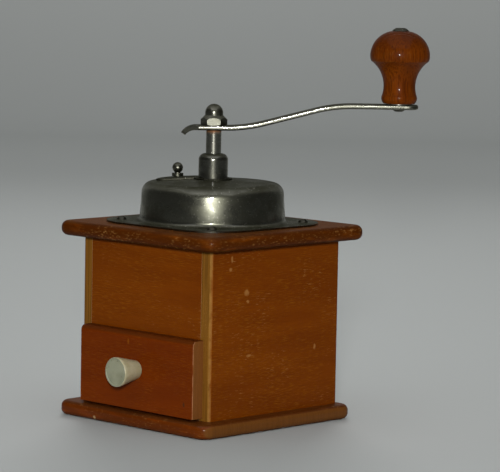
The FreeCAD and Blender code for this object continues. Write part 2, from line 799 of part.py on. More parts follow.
def round_headed(seat, head_radius, head_height, shank_radius, grip):
    """A maker of slotted screws with a low round head above a seat."""
    def make(body):
        top = f"({seat} + {head_height})"
        revolve(body, [
            ("0", f"{seat} - {grip}"),
            (shank_radius, f"{seat} - {grip} + 2 * {shank_radius}"),
            (shank_radius, seat),
            (head_radius, seat),
            (f"{head_radius} / 2", top, f"{head_radius}"),
            ("0", top),
        ])
        cut_slot(body, head_radius, top)

    return make


def hatch_drop(radius):
    """How far the dome's slope lies below its hub at a radius."""
    return f"({DOME_FALL} * ({radius} - dome_hub_radius))"


def make_hatch():
    """Sector plate that swings on the sleeve's spigot and lies along the dome's slope.
    A ball knob is riveted to it."""
    body = new_part("fill_hatch")
    hole = "(sleeve_spigot_radius + running_clearance)"
    tip_drop = hatch_drop("hatch_radius")
    revolve(body, [
        (hole, HATCH_UNDER),
        ("dome_hub_radius", HATCH_UNDER),
        ("hatch_radius", f"{HATCH_UNDER} - {tip_drop}"),
        ("hatch_radius", f"{HATCH_TOP} - {tip_drop}"),
        ("dome_hub_radius", HATCH_TOP),
        (hole, HATCH_TOP),
    ])
    waste = "((180 - hatch_half_angle) / 2)"
    for sign in ("", "-"):
        side = new_sketch(body, "XY_Plane", HATCH_TOP)
        add_sector(side, "hatch_hub_radius", "(hatch_radius + hatch_corner_radius)",
                   f"{sign}(hatch_half_angle + {waste})", waste)
        pocket(body, side, f"hatch_thickness + {tip_drop}")
    corner = number("hatch_radius * cos(hatch_half_angle)")
    round_edges(body, "hatch_corner_radius",
                lambda edge: upright(edge) and close(edge.BoundBox.XMin, corner))
    drill(body, [("hatch_knob_reach", "0")], "hatch_rivet_radius + seat_clearance", HATCH_TOP,
          f"hatch_thickness + {tip_drop}")
    turn(body, "fill_direction")
    knob = new_part("hatch_knob")
    rivet_end = f"({HATCH_UNDER} - {hatch_drop('hatch_knob_reach - hatch_rivet_radius')})"
    seat = f"({HATCH_TOP} - {hatch_drop('hatch_knob_reach - hatch_collar_radius')})"
    collar = f"({seat} + hatch_collar_height)"
    neck = f"({collar} + hatch_neck_height)"
    ball = f"({neck} + sqrt(pow(hatch_ball_radius; 2) - pow(hatch_neck_radius; 2)))"
    revolve(knob, [
        ("0", rivet_end),
        ("hatch_rivet_radius", rivet_end),
        ("hatch_rivet_radius", seat),
        ("hatch_collar_radius", seat),
        ("hatch_collar_radius", collar),
        ("hatch_neck_radius", collar),
        ("hatch_neck_radius", neck),
        ("0", f"{ball} + hatch_ball_radius", "hatch_ball_radius"),
    ])
    place(knob, "hatch_knob_reach * cos(fill_direction)", "hatch_knob_reach * sin(fill_direction)")


def make_sleeve():
    """Bearing of the shaft, spun over under the dome.
    It holds the hatch between its shoulder and the dome."""
    body = new_part("bearing_sleeve")
    lip = f"({DOME_UNDER} - sleeve_lip_thickness)"
    revolve(body, [
        (SLEEVE_BORE, lip),
        ("sleeve_lip_radius", lip),
        ("sleeve_lip_radius", DOME_UNDER),
        ("sleeve_spigot_radius", DOME_UNDER),
        ("sleeve_spigot_radius", SLEEVE_FOOT),
        ("sleeve_radius", SLEEVE_FOOT),
        ("sleeve_radius", SLEEVE_TOP),
        (SLEEVE_BORE, SLEEVE_TOP),
    ])
    round_edges(body, f"min(sleeve_top_round; 2 * {ROUND_SHARE} * (sleeve_radius - {SLEEVE_BORE}))",
                ring_at("sleeve_radius", SLEEVE_TOP))


def square_pad(body, side, low, length):
    sketch = new_sketch(body, "XY_Plane", low)
    add_rectangle(sketch, f"-{side} / 2", f"-{side} / 2", f"{side} / 2", f"{side} / 2")
    return pad(body, sketch, length)


def make_shaft():
    """Round shaft with a square for each end's driven piece, and a pocket for the thrust ball."""
    body = new_part("main_shaft")
    pocket_radius = "(ball_radius + running_clearance)"
    revolve(body, [
        (pocket_radius, SHAFT_BOTTOM),
        ("shaft_thread_radius", SHAFT_BOTTOM),
        ("shaft_thread_radius", CONE_TOP),
        ("shaft_radius", CONE_TOP),
        ("shaft_radius", ARM_SEAT),
        ("shaft_thread_radius", ARM_SEAT),
        ("shaft_thread_radius", f"{ARM_TOP} + shaft_thread_length"),
        ("0", f"{ARM_TOP} + shaft_thread_length"),
        ("0", BALL_CEILING),
        (pocket_radius, BALL_CEILING),
    ])
    square_pad(body, "shaft_square", CONE_BOTTOM, "cone_height")
    square_pad(body, "shaft_square", ARM_SEAT, "arm_thickness")
    turn(body, "crank_angle")


def square_hole(body, mouth, depth):
    """A square seat for the shaft."""
    sketch = new_sketch(body, "XY_Plane", mouth)
    half = "(shaft_square / 2 + seat_clearance)"
    add_rectangle(sketch, f"-{half}", f"-{half}", half, half)
    return pocket(body, sketch, depth)


def cut_grooves(body, kind, low, high, inward):
    """Slanting V grooves of one kind about the axis.
    Each end is a height, a surface radius, a depth and a turn.
    The V runs inward from the outside of a cone, or outward from the bore of a ring."""
    sections = []
    for height, radius, depth, twist in (low, high):
        sketch = new_sketch(body, "XY_Plane", height, twist)
        root = f"{radius} - {depth}" if inward else f"{radius} + {depth}"
        mouth = f"{radius} + {kind}_overrun" if inward else f"{radius} - {kind}_overrun"
        add_outline(sketch, [(root, "0"), (mouth, f"-{kind}_half_width"), (mouth, f"{kind}_half_width")])
        sections.append(sketch)
    volume = body.Tip.Shape.Volume
    loft = body.newObject("PartDesign::SubtractiveLoft", f"{body.Name}_groove")
    loft.Profile = sections[0]
    loft.Sections = sections[1:]
    loft.Ruled = True
    check_cut(loft, volume)
    around_axis(body, [loft], f"{kind}_count")


def make_inner_burr():
    """Toothed cone: wide breaker grooves above, which draw the beans in, and fine teeth below."""
    body = new_part("inner_burr")
    land = f"({CONE_BOTTOM} + cone_land)"
    revolve(body, [
        ("0", CONE_BOTTOM),
        (CONE_RADIUS, CONE_BOTTOM),
        (CONE_RADIUS, land),
        ("cone_top_radius", CONE_TOP),
        ("0", CONE_TOP),
    ])
    square_hole(body, CONE_TOP, "cone_height")
    slope = f"(({CONE_RADIUS} - cone_top_radius) / (cone_height - cone_land))"
    breaker_low = f"({CONE_TOP} - breaker_run)"
    breaker_high = f"({CONE_TOP} + breaker_overrun)"
    cut_grooves(body, "breaker",
                (breaker_low, f"(cone_top_radius + {slope} * breaker_run)", "groove_fade", "0"),
                (breaker_high, "cone_top_radius", "breaker_cone_depth", "breaker_cone_twist"),
                True)
    tooth_low = f"({CONE_BOTTOM} - tooth_overrun)"
    tooth_high = f"({CONE_BOTTOM} + tooth_run)"
    tooth_end = f"({CONE_RADIUS} - {slope} * (tooth_run - cone_land))"
    cut_grooves(body, "tooth",
                (tooth_low, CONE_RADIUS, "tooth_depth", "0"),
                (tooth_high, tooth_end, "groove_fade", "tooth_cone_twist"),
                True)
    turn(body, "crank_angle")


def make_outer_burr():
    """Ring with an entry cone, breaker grooves and fine teeth in its bore."""
    body = new_part("outer_burr")
    entry = f"({RING_TOP} - ring_entry_depth)"
    revolve(body, [
        ("ring_outlet_radius", RING_BOTTOM),
        ("ring_radius", RING_BOTTOM),
        ("ring_radius", RING_TOP),
        ("ring_entry_radius", RING_TOP),
        ("ring_throat_radius", entry),
    ])
    slope = "((ring_throat_radius - ring_outlet_radius) / (ring_height - ring_entry_depth))"
    breaker_high = f"({RING_TOP} + breaker_overrun)"
    breaker_low = f"({RING_TOP} - breaker_run)"
    breaker_end = f"(ring_outlet_radius + {slope} * (ring_height - breaker_run))"
    cut_grooves(body, "breaker",
                (breaker_low, breaker_end, "groove_fade", "0"),
                (breaker_high, "ring_throat_radius", "breaker_ring_depth", "breaker_ring_twist"),
                False)
    tooth_low = f"({RING_BOTTOM} - tooth_overrun)"
    tooth_high = f"({RING_BOTTOM} + tooth_run)"
    tooth_end = f"(ring_outlet_radius + {slope} * tooth_run)"
    cut_grooves(body, "tooth",
                (tooth_low, "ring_outlet_radius", "tooth_depth", "0"),
                (tooth_high, tooth_end, "groove_fade", "tooth_ring_twist"),
                False)


def make_housing():
    """Cast funnel that hangs in the top board by its rim.
    It holds the outer burr on a lip and carries two posts."""
    body = new_part("burr_housing")
    lip_radius = f"({SEAT_RADIUS} - housing_lip_width)"
    revolve(body, [
        (lip_radius, HOUSING_BOTTOM),
        (SEAT_OUTSIDE, HOUSING_BOTTOM),
        (SEAT_OUTSIDE, RING_TOP),
        (MOUTH_OUTSIDE, BOX_TOP),
        (MOUTH_OUTSIDE, TOP_FACE),
        (RIM_RADIUS, TOP_FACE),
        (RIM_RADIUS, RIM_TOP),
        ("housing_mouth_radius", RIM_TOP),
        (SEAT_RADIUS, RING_TOP),
        (SEAT_RADIUS, RING_BOTTOM),
        (lip_radius, RING_BOTTOM),
    ])
    posts = new_sketch(body, "XY_Plane", BRIDGE_TOP)
    for across, along in POST_SPOTS:
        add_circle(posts, across, along, "post_radius")
    pad(body, posts, "post_length + housing_lip")
    drill(body, POST_SPOTS, "bridge_screw_radius + seat_clearance", BRIDGE_TOP,
          "bridge_screw_bite + seat_clearance", True)
    drill(body, HOUSING_SCREW_SPOTS, "housing_screw_radius + seat_clearance", RIM_TOP,
          "housing_rim_thickness")


def make_burr_nut():
    """Hexagon nut that holds the inner burr against the shaft's shoulder."""
    body = new_part("burr_nut")
    hexagon = new_sketch(body, "XY_Plane", NUT_BOTTOM)
    add_hexagon(hexagon, "burr_nut_flats")
    add_circle(hexagon, "0", "0", THREAD_BORE)
    pad(body, hexagon, "burr_nut_height")
    turn(body, "crank_angle")


def make_bridge():
    """Bar under the burrs, with a threaded boss for the adjusting screw."""
    body = new_part("lower_bridge")
    end = "(post_reach + post_radius)"
    bar = new_sketch(body, "XY_Plane", BRIDGE_BOTTOM)
    add_rectangle(bar, f"-{end}", "-bridge_width / 2", end, "bridge_width / 2")
    pad(body, bar, "bridge_thickness")
    round_edges(body, kept_within("post_radius", "bridge_width"), upright)
    boss = new_sketch(body, "XY_Plane", BRIDGE_BOTTOM)
    add_circle(boss, "0", "0", "bridge_boss_radius")
    pad(body, boss, "bridge_thickness")
    drill(body, [("0", "0")], "adjuster_radius + running_clearance", BRIDGE_TOP, "bridge_thickness")
    drill(body, POST_SPOTS, "bridge_screw_radius + seat_clearance", BRIDGE_TOP, "bridge_thickness")


def make_bridge_screw(body):
    """Cheese headed screw, driven up through the bridge into a post."""
    head = f"({BRIDGE_BOTTOM} - bridge_screw_head_height)"
    tip = f"({BRIDGE_TOP} + bridge_screw_bite)"
    revolve(body, [
        ("0", head),
        ("bridge_screw_head_radius", head),
        ("bridge_screw_head_radius", BRIDGE_BOTTOM),
        ("bridge_screw_radius", BRIDGE_BOTTOM),
        ("bridge_screw_radius", tip),
        ("0", tip),
    ])


def make_adjuster():
    """Adjusting screw with a notched wheel, and the ball that the shaft stands on."""
    body = new_part("adjusting_screw")
    revolve(body, [
        ("0", WHEEL_BOTTOM),
        ("wheel_radius", WHEEL_BOTTOM),
        ("wheel_radius", WHEEL_TOP),
        ("adjuster_radius", WHEEL_TOP),
        ("adjuster_radius", ADJUSTER_TOP),
        ("0", ADJUSTER_TOP),
    ])
    notch = new_sketch(body, "XY_Plane", WHEEL_TOP)
    add_circle(notch, "wheel_radius + wheel_notch_radius / 2", "0", "wheel_notch_radius")
    cut = pocket(body, notch, "wheel_thickness")
    around_axis(body, [cut], "wheel_notch_count")
    ball = new_part("thrust_ball")
    revolve(ball, [
        ("ball_radius", BALL_CENTRE, "ball_radius"),
        ("0", f"{BALL_CENTRE} + ball_radius", "ball_radius"),
        ("0", f"{BALL_CENTRE} - ball_radius"),
    ])


def make_crank_arm():
    """Flat strip with a double bend, a rounded end under the knob and a curled tail."""
    body = new_part("crank_arm")
    half = "arm_thickness / 2"
    outer, inner = f"(arm_bend_radius + {half})", f"(arm_bend_radius - {half})"
    curl_outer, curl_inner = f"(arm_tail_radius + {half})", f"(arm_tail_radius - {half})"
    sine, drop = "sin(arm_slope)", "(1 - cos(arm_slope))"
    straight = f"((arm_rise - 2 * arm_bend_radius * {drop}) / {sine})"
    run = f"(2 * arm_bend_radius * {sine} + {straight} * cos(arm_slope))"
    tail_sine, tail_drop = "sin(arm_tail_curl)", "(1 - cos(arm_tail_curl))"
    low_end = (f"(arm_root + {outer} * {sine})", f"({ARM_SEAT} + {outer} * {drop})")
    high_end = (f"(arm_root + {run} - {inner} * {sine})", f"({ARM_HIGH} - {inner} * {drop})")
    across, up = f"arm_thickness * {sine}", "arm_thickness * cos(arm_slope)"
    side = new_sketch(body, "XZ_Plane", "-arm_width / 2")
    add_outline(side, [
        ("-arm_tail", ARM_SEAT, f"-{curl_inner}"),
        ("arm_root", ARM_SEAT),
        (*low_end, outer),
        high_end,
        (f"arm_root + {run}", ARM_HIGH, f"-{inner}"),
        ("arm_reach + arm_end", ARM_HIGH),
        ("arm_reach + arm_end", ARM_HIGH_TOP),
        (f"arm_root + {run}", ARM_HIGH_TOP),
        (f"{high_end[0]} - {across}", f"{high_end[1]} + {up}", outer),
        (f"{low_end[0]} - {across}", f"{low_end[1]} + {up}"),
        ("arm_root", ARM_TOP, f"-{inner}"),
        ("-arm_tail", ARM_TOP),
        (f"-arm_tail - {curl_outer} * {tail_sine}", f"{ARM_TOP} - {curl_outer} * {tail_drop}", curl_outer),
        (f"-arm_tail - {curl_inner} * {tail_sine}", f"{ARM_SEAT} - {curl_inner} * {tail_drop}"),
    ])
    pad(body, side, "arm_width")
    end, tail = number("arm_reach + arm_end"), number(f"-arm_tail - {curl_inner} * {tail_sine}")
    thickness, half_width = number("arm_thickness"), number("arm_width / 2")

    def at_end(edge):
        return close(edge.BoundBox.YLength, 0) and close(edge.BoundBox.XMin, end)

    def at_tail(edge):
        return edge.BoundBox.YLength < thickness and edge.BoundBox.XMax < tail + TOLERANCE

    def along_a_side(edge):
        box = edge.BoundBox
        return close(box.YLength, 0) and close(abs(box.YMin), half_width) and edge.Length > 2 * thickness

    round_edges(body, kept_within("arm_end_round", "arm_width"), at_end)
    round_edges(body, kept_within("arm_edge_round", "arm_thickness"), along_a_side)
    tip = f"(-arm_tail - {curl_outer} * {tail_sine})"
    taper = new_sketch(body, "XY_Plane", ARM_TOP)
    for sign in ("-", ""):
        add_outline(taper, [
            ("-arm_taper", f"{sign}arm_width / 2"),
            (tip, f"{sign}arm_width / 2"),
            (tip, f"{sign}arm_tail_width / 2"),
        ])
    pocket(body, taper, f"arm_thickness + arm_tail_radius * {tail_drop}")
    round_edges(body, kept_within("arm_tail_round", "arm_tail_width"), at_tail)
    square_hole(body, ARM_TOP, "arm_thickness")
    drill(body, [("arm_reach", "0")], "rivet_radius + seat_clearance", ARM_HIGH_TOP, "arm_thickness")
    turn(body, "crank_angle")


def make_cap_nut():
    """Hexagon with a domed cap, one flat along the arm."""
    body = new_part("cap_nut")
    hex_top = f"({ARM_TOP} + nut_hex_height)"
    outside = "(nut_flats / sqrt(3) + seat_clearance)"
    hexagon = new_sketch(body, "XY_Plane", ARM_TOP)
    add_hexagon(hexagon, "nut_flats")
    pad(body, hexagon, "nut_hex_height")
    groove(body, [
        ("nut_cap_radius", hex_top),
        (outside, f"{hex_top} - nut_chamfer"),
        (outside, hex_top),
    ])
    groove(body, [
        ("nut_flats / 2", ARM_TOP),
        (outside, ARM_TOP),
        (outside, f"{ARM_TOP} + nut_foot_chamfer"),
    ])
    shoulder = f"({ARM_TOP} + nut_height - nut_cap_radius)"
    revolve(body, [
        ("0", hex_top),
        ("nut_cap_radius", hex_top),
        ("nut_cap_radius", shoulder),
        ("0", f"{ARM_TOP} + nut_height", "nut_cap_radius"),
    ])
    drill(body, [("0", "0")], THREAD_BORE, ARM_TOP, "shaft_thread_length + seat_clearance", True)
    turn(body, "crank_angle")


def make_crank_knob():
    """Turned wooden knob that spins on a rivet, over a washer on the arm."""
    knob = new_part("crank_knob")
    bore = "(rivet_radius + running_clearance)"
    revolve(knob, [
        (bore, KNOB_FOOT),
        ("knob_foot_radius", KNOB_FOOT),
        ("knob_bead_radius", KNOB_BEAD, "knob_bead_curve"),
        ("knob_lip_radius", KNOB_LIP, "-knob_flare_curve"),
        ("knob_radius", KNOB_BELLY, "knob_lip_curve"),
        ("knob_crown_radius", KNOB_TOP, "knob_crown_curve"),
        (bore, KNOB_TOP),
    ])
    place(knob, KNOB_X, KNOB_Y)
    washer = new_part("knob_washer")
    ring = new_sketch(washer, "XY_Plane", ARM_HIGH_TOP)
    add_circle(ring, "0", "0", "knob_washer_radius")
    add_circle(ring, "0", "0", "rivet_radius + seat_clearance")
    pad(washer, ring, "knob_washer_thickness")
    place(washer, KNOB_X, KNOB_Y)
    rivet = new_part("knob_rivet")
    head_top = f"({RIVET_SEAT} + rivet_head_height)"
    revolve(rivet, [
        ("0", f"{ARM_HIGH} - rivet_peen_height"),
        ("rivet_peen_radius / 2", f"{ARM_HIGH} - rivet_peen_height"),
        ("rivet_peen_radius", ARM_HIGH, "rivet_peen_radius"),
        ("rivet_radius", ARM_HIGH),
        ("rivet_radius", RIVET_SEAT),
        ("rivet_head_radius", RIVET_SEAT),
        ("rivet_head_radius / 2", head_top, "rivet_head_radius"),
        ("0", head_top),
    ])
    place(rivet, KNOB_X, KNOB_Y)


def build():
    make_base_plate()
    screw_group("base_screws", BASE_SCREW_SPOTS, make_base_screw)
    make_side_walls()
    make_cross_walls()
    make_top_plate()
    make_drawer()
    make_drawer_knob()
    make_dome()
    screw_group("dome_screws", DOME_SCREW_SPOTS, round_headed(
        FLANGE_TOP, "dome_screw_head_radius", "dome_screw_head_height", "dome_screw_radius",
        "(dome_sheet + dome_screw_grip)"))
    make_hatch()
    make_sleeve()
    make_shaft()
    make_inner_burr()
    make_outer_burr()
    make_housing()
    screw_group("housing_screws", HOUSING_SCREW_SPOTS, round_headed(
        RIM_TOP, "housing_screw_head_radius", "housing_screw_head_height", "housing_screw_radius",
        "(housing_rim_thickness + housing_screw_grip)"))
    make_burr_nut()
    make_bridge()
    screw_group("bridge_screws", POST_SPOTS, make_bridge_screw)
    make_adjuster()
    make_crank_arm()
    make_cap_nut()
    make_crank_knob()
    doc.recompute()


def check():
    """Stop if any object failed or any piece is not a sound solid."""
    for item in doc.Objects:
        if "Invalid" in item.State or "Error" in item.State:
            raise RuntimeError(f"{item.Label} failed: {item.State}")
    for part in parts:
        if part.Shape.isNull() or not part.Shape.isValid() or not part.Shape.Solids:
            raise RuntimeError(f"{part.Label} is not a sound solid")


def export():
    os.makedirs("parts", exist_ok=True)
    for part in parts:
        part.Shape.exportStep(f"parts/{part.Label}.step")
        print(part.Label, len(part.Shape.Solids), round(part.Shape.Volume, 1))


build()
check()
export()
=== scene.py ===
# %% [markdown]
# # A box coffee mill
# The mill is a small wooden box with a drawer, a plated dome for the beans and a crank on top. Its pieces
# come from the frame at their real size and place, so this lesson is mostly about finishes: old varnished
# beech, worn nickel plate, steel, cast iron and ivory. Everything is in metres, with the crank shaft on the
# Z axis and the drawer towards -Y.

import math

import bmesh
import bpy
from mathutils import Euler, Matrix, Vector


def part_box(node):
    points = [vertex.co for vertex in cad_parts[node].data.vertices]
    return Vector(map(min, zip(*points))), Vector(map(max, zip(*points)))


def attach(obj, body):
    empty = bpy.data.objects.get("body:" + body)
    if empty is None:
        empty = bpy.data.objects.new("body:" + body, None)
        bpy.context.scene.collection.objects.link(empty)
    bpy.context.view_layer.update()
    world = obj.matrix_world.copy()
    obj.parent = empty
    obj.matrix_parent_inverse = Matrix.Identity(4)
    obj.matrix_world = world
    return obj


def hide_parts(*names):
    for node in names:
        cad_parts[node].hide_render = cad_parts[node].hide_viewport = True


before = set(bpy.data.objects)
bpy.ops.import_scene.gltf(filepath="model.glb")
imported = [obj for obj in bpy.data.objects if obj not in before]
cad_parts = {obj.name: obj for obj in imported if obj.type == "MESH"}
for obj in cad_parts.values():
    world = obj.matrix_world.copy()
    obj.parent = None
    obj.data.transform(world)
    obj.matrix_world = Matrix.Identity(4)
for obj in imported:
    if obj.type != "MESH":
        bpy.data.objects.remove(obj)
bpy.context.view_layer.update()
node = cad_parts
scene = bpy.context.scene
MM = 0.001
print("pieces in the frame:", len(node))

# %% [markdown]
# ## The camera
# The picture was taken from the front right, a little above the dome, from about one and a half metres. A
# camera could be aimed with a tracking constraint. Three angles say the same and are easier to measure in a
# picture: how far round the mill it stands, how far above the horizon, and how much it leans. A long lens
# keeps the box's edges nearly parallel.

# %% The camera
AZIMUTH, ELEVATION, LEAN = math.radians(44.28), math.radians(5.94), math.radians(1.05)
STANDPOINT = (1.1071, -1.1053, 0.2632)
SENSOR_WIDTH, LENS = 36, 205.2

camera_data = bpy.data.cameras.new("camera")
camera_data.sensor_width = SENSOR_WIDTH
camera_data.lens = LENS
camera = bpy.data.objects.new("camera", camera_data)
camera.location = STANDPOINT
upright = Euler((math.pi / 2 - ELEVATION, 0, AZIMUTH)).to_matrix()
camera.rotation_euler = (upright @ Matrix.Rotation(LEAN, 3, "Z")).to_euler()
scene.collection.objects.link(camera)
scene.camera = camera
print("camera stands", round(camera.location.length, 2), "m away")

# %% [markdown]
# ## Floor and backdrop
# The stage is one pale sheet that runs from the floor up into a wall in a wide curve, so there is no line
# behind the mill. A plane and a wall with a bevel between them would do. Here it is made as paper is bent:
# an edge is drawn out along the floor, spun a quarter turn and drawn up. The wall stands further off than
# the camera, so a camera that walks round the mill stays in front of it.

# %% Stage
HALF_WIDTH, FLOOR_FRONT, FLOOR_REAR = 4.0, 4.0, 2.2
CURVE_RADIUS, CURVE_STEPS, WALL_HEIGHT = 0.6, 24, 2.4
WELD = 0.01 * MM
TO_CAMERA_SIDE = Matrix.Rotation(AZIMUTH, 3, "Z")


def drawn_out(shape, edges, offset):
    """Draw edges out by an offset, and return the edges at the far side."""
    made = bmesh.ops.extrude_edge_only(shape, edges=edges)["geom"]
    corners = [item for item in made if isinstance(item, bmesh.types.BMVert)]
    bmesh.ops.translate(shape, verts=corners, vec=offset)
    return [item for item in made if isinstance(item, bmesh.types.BMEdge)
            and all(corner in corners for corner in item.verts)]


def finished(name, shape):
    """Close a shape's seams, point its faces outwards and put it in the scene."""
    bmesh.ops.remove_doubles(shape, verts=shape.verts, dist=WELD)
    bmesh.ops.recalc_face_normals(shape, faces=shape.faces)
    mesh = bpy.data.meshes.new(name)
    shape.to_mesh(mesh)
    shape.free()
    mesh.shade_smooth()
    piece = bpy.data.objects.new(name, mesh)
    scene.collection.objects.link(piece)
    return piece


sweep = bmesh.new()
ends = [sweep.verts.new((side * HALF_WIDTH, -FLOOR_FRONT, 0)) for side in (-1, 1)]
edge = drawn_out(sweep, [sweep.edges.new(ends)], (0, FLOOR_FRONT + FLOOR_REAR, 0))
bent = bmesh.ops.spin(sweep, geom=edge + list(edge[0].verts), cent=(0, FLOOR_REAR, CURVE_RADIUS),
                      axis=(1, 0, 0), angle=math.pi / 2, steps=CURVE_STEPS)["geom_last"]
edge = [item for item in bent if isinstance(item, bmesh.types.BMEdge)]
drawn_out(sweep, edge, (0, 0, WALL_HEIGHT))
bmesh.ops.rotate(sweep, verts=sweep.verts, matrix=TO_CAMERA_SIDE)
stage = finished("stage", sweep)
print("stage:", len(stage.data.polygons), "faces")

# %% [markdown]
# ## Paper, the first finish
# A finish is a tree of nodes that ends in a shader, and the paper's is the simplest: dull all over. Its
# inputs could be set one by one. A helper that takes them by name keeps each recipe in one place, and it
# will later join nodes in the same way as it sets numbers.


# %% Paper
def start(name):
    """A new finish: the material, its node tree and its shader."""
    material = bpy.data.materials.new(name)
    material.use_nodes = True
    return material, material.node_tree, material.node_tree.nodes["Principled BSDF"]


def feed(tree, taker, inputs):
    """Join sockets to a node's inputs, or set values on them."""
    for name, value in inputs.items():
        if isinstance(value, bpy.types.NodeSocket):
            tree.links.new(value, taker.inputs[name])
        else:
            taker.inputs[name].default_value = value


paper, tree, shader = start("stage_paper")
feed(tree, shader, {"Roughness": 1.0, "Specular IOR Level": 0.0})
stage.data.materials.append(paper)
print("paper on", stage.name)

# %% [markdown]
# ## Masks
# The paper is a little paler up the wall than on the floor. Two materials would show a line where they
# meet. A mask doesn't: a number that goes softly from 0 to 1, here with the height, and mixes two colours.
# Every finish on the mill is made of such masks. They read Object coordinates, so they stay on a piece when
# it moves.


# %% Masks
def colour(red, green, blue):
    """A colour for a node, which wants a fourth number."""
    return (red, green, blue, 1.0)


def add(tree, kind, inputs, **settings):
    """A new node with its settings and inputs."""
    made = tree.nodes.new(f"ShaderNode{kind}")
    for setting, value in settings.items():
        setattr(made, setting, value)
    feed(tree, made, inputs)
    return made


def place(tree, output="Object"):
    """Where a point lies on the piece, or with Normal, which way its surface faces."""
    found = tree.nodes.get("Texture Coordinate") or tree.nodes.new("ShaderNodeTexCoord")
    return found.outputs[output]


def along(tree, axis, output="Object"):
    """One coordinate of a point, or of the way that its surface faces."""
    return add(tree, "SeparateXYZ", {0: place(tree, output)}).outputs[axis]


def between(tree, value, low, high):
    """0 up to low, 1 from high on, and a soft step between them."""
    step = {"Value": value, "From Min": low, "From Max": high}
    return add(tree, "MapRange", step, interpolation_type="SMOOTHSTEP").outputs[0]


def blend(tree, share, first, second):
    """Two colours mixed."""
    return add(tree, "Mix", {0: share, 6: first, 7: second}, data_type="RGBA").outputs[2]


FLOOR_TONE, WALL_TONE = colour(0.40, 0.415, 0.41), colour(0.62, 0.64, 0.63)
up_the_wall = between(tree, along(tree, "Z"), low=0.0, high=CURVE_RADIUS)
feed(tree, shader, {"Base Color": blend(tree, up_the_wall, FLOOR_TONE, WALL_TONE)})
print("paper:", len(tree.nodes), "nodes")

# %% [markdown]
# ## Light
# Polished metal shows its lamps, so their shapes matter as much as their power. A wide lamp overhead gives
# the soft light. A small one just above the camera draws the bright stripe down the dome and the arm.
# Another stands behind, so that the back isn't black, and is kept out of reflections, where it would only
# make glare. The fourth lights the wall, which the others hardly reach.

# %% Light
FRONT, BACK = 44, 224
ALL_ROUND = 180
MILL = Vector((0, 0, 0.1))
WALL = TO_CAMERA_SIDE @ Vector((0, FLOOR_REAR + CURVE_RADIUS, CURVE_RADIUS))
ROOM_TONE, ROOM_STRENGTH = colour(0.98, 1.0, 0.93), 0.08


def soft_lamp(name, target, azimuth, elevation, distance, size, power, spread=ALL_ROUND):
    """A flat lamp that looks at a target from a direction given in degrees, as for the camera."""
    data = bpy.data.lights.new(name, "AREA")
    data.shape = "RECTANGLE"
    data.size, data.size_y = size
    data.energy = power
    data.spread = math.radians(spread)
    lamp = bpy.data.objects.new(name, data)
    lamp.rotation_euler = Euler((math.pi / 2 - math.radians(elevation), 0, math.radians(azimuth)))
    lamp.location = target + lamp.rotation_euler.to_matrix() @ Vector((0, 0, distance))
    lamp.visible_camera = False
    scene.collection.objects.link(lamp)
    print(name, "lamp:", power, "W")
    return lamp


soft_lamp("overhead", MILL, FRONT, elevation=75, distance=2.2, size=(3.0, 3.0), power=26)
soft_lamp("above_camera", MILL, FRONT, elevation=11, distance=1.75, size=(0.10, 0.14), power=1.22, spread=40)
fill = soft_lamp("behind", MILL, BACK, elevation=28, distance=2.3, size=(1.2, 1.0), power=3.4, spread=48)
fill.visible_glossy = False
soft_lamp("on_wall", WALL, FRONT, elevation=45, distance=2.2, size=(3.0, 1.0), power=19)

scene.world = bpy.data.worlds.new("room")
scene.world.use_nodes = True
room = scene.world.node_tree
feed(room, room.nodes["Background"], {"Color": ROOM_TONE, "Strength": ROOM_STRENGTH})
scene.view_settings.view_transform = "Standard"

# %% [markdown]
# ## Noise with a grain
# Wood, rust and worn plate are all patterns of patches. Noise makes patches, and a Mapping node gives them
# a size in millimetres, so that they can be read off a ruler on the real piece. Patches that are long in
# one direction and narrow in the others make a grain. Small sums of masks are needed all the time, so they
# get short names.

# %% Noise
CLOUD, FIBRE, FLECK, CROWD = (70, 9), (14, 0.5), (5, 0.45), (26, 14)


def sums(tree, operation, *values):
    """One step of arithmetic on masks and numbers."""
    return add(tree, "Math", dict(enumerate(values)), operation=operation).outputs[0]


def times(tree, first, second):
    """Where both masks are 1, or a mask made weaker."""
    return sums(tree, "MULTIPLY", first, second)


def inverse(tree, share):
    """Where a mask is not 1."""
    return sums(tree, "SUBTRACT", 1.0, share)


def clouds(tree, size, detail=2, seed=0.0):
    """Noise whose patches are about size millimetres, one number or one for each axis."""
    lengths = size if isinstance(size, (tuple, list)) else [size] * 3
    scale = [1 / (length * MM) for length in lengths]
    spot = add(tree, "Mapping", {"Vector": place(tree), "Location": [seed] * 3, "Scale": scale})
    return add(tree, "TexNoise", {"Vector": spot.outputs[0], "Scale": 1.0, "Detail": detail}).outputs["Fac"]


def grain_size(grain, length, width):
    """Patches that are long in the direction of the grain."""
    return [length if axis == grain else width for axis in "XYZ"]


print("fibres along Y, in mm:", grain_size("Y", *FIBRE))

# %% [markdown]
# ## Old varnished beech
# Beech is plain wood: no bold rings, but fine fibres along the grain and many short flecks, which are its
# rays. Under old varnish it turns orange brown. A photograph of a plank would show this too, but it would
# repeat and would not follow each board. Noise along the grain does: clouds of a few centimetres, fibres
# half a millimetre wide and flecks five millimetres long. The finish is kept open while it is made, so that
# wear can be laid over it step by step.

# %% Beech
FIBRE_GLOSS, GLOSS = 0.2, 0.26
FIBRE_RELIEF, WOOD_RELIEF = 0.6, 0.05
WOOD_SPECULAR = 0.02
AMBER_DARK, AMBER = colour(0.10, 0.0175, 0.0005), colour(0.155, 0.034, 0.001)
AMBER_PALE = colour(0.28, 0.10, 0.005)


def bumped(tree, shader, height, depth):
    """Relief of about depth millimetres."""
    bump = add(tree, "Bump", {"Height": height, "Strength": 1.0, "Distance": depth * MM})
    feed(tree, shader, {"Normal": bump.outputs[0]})


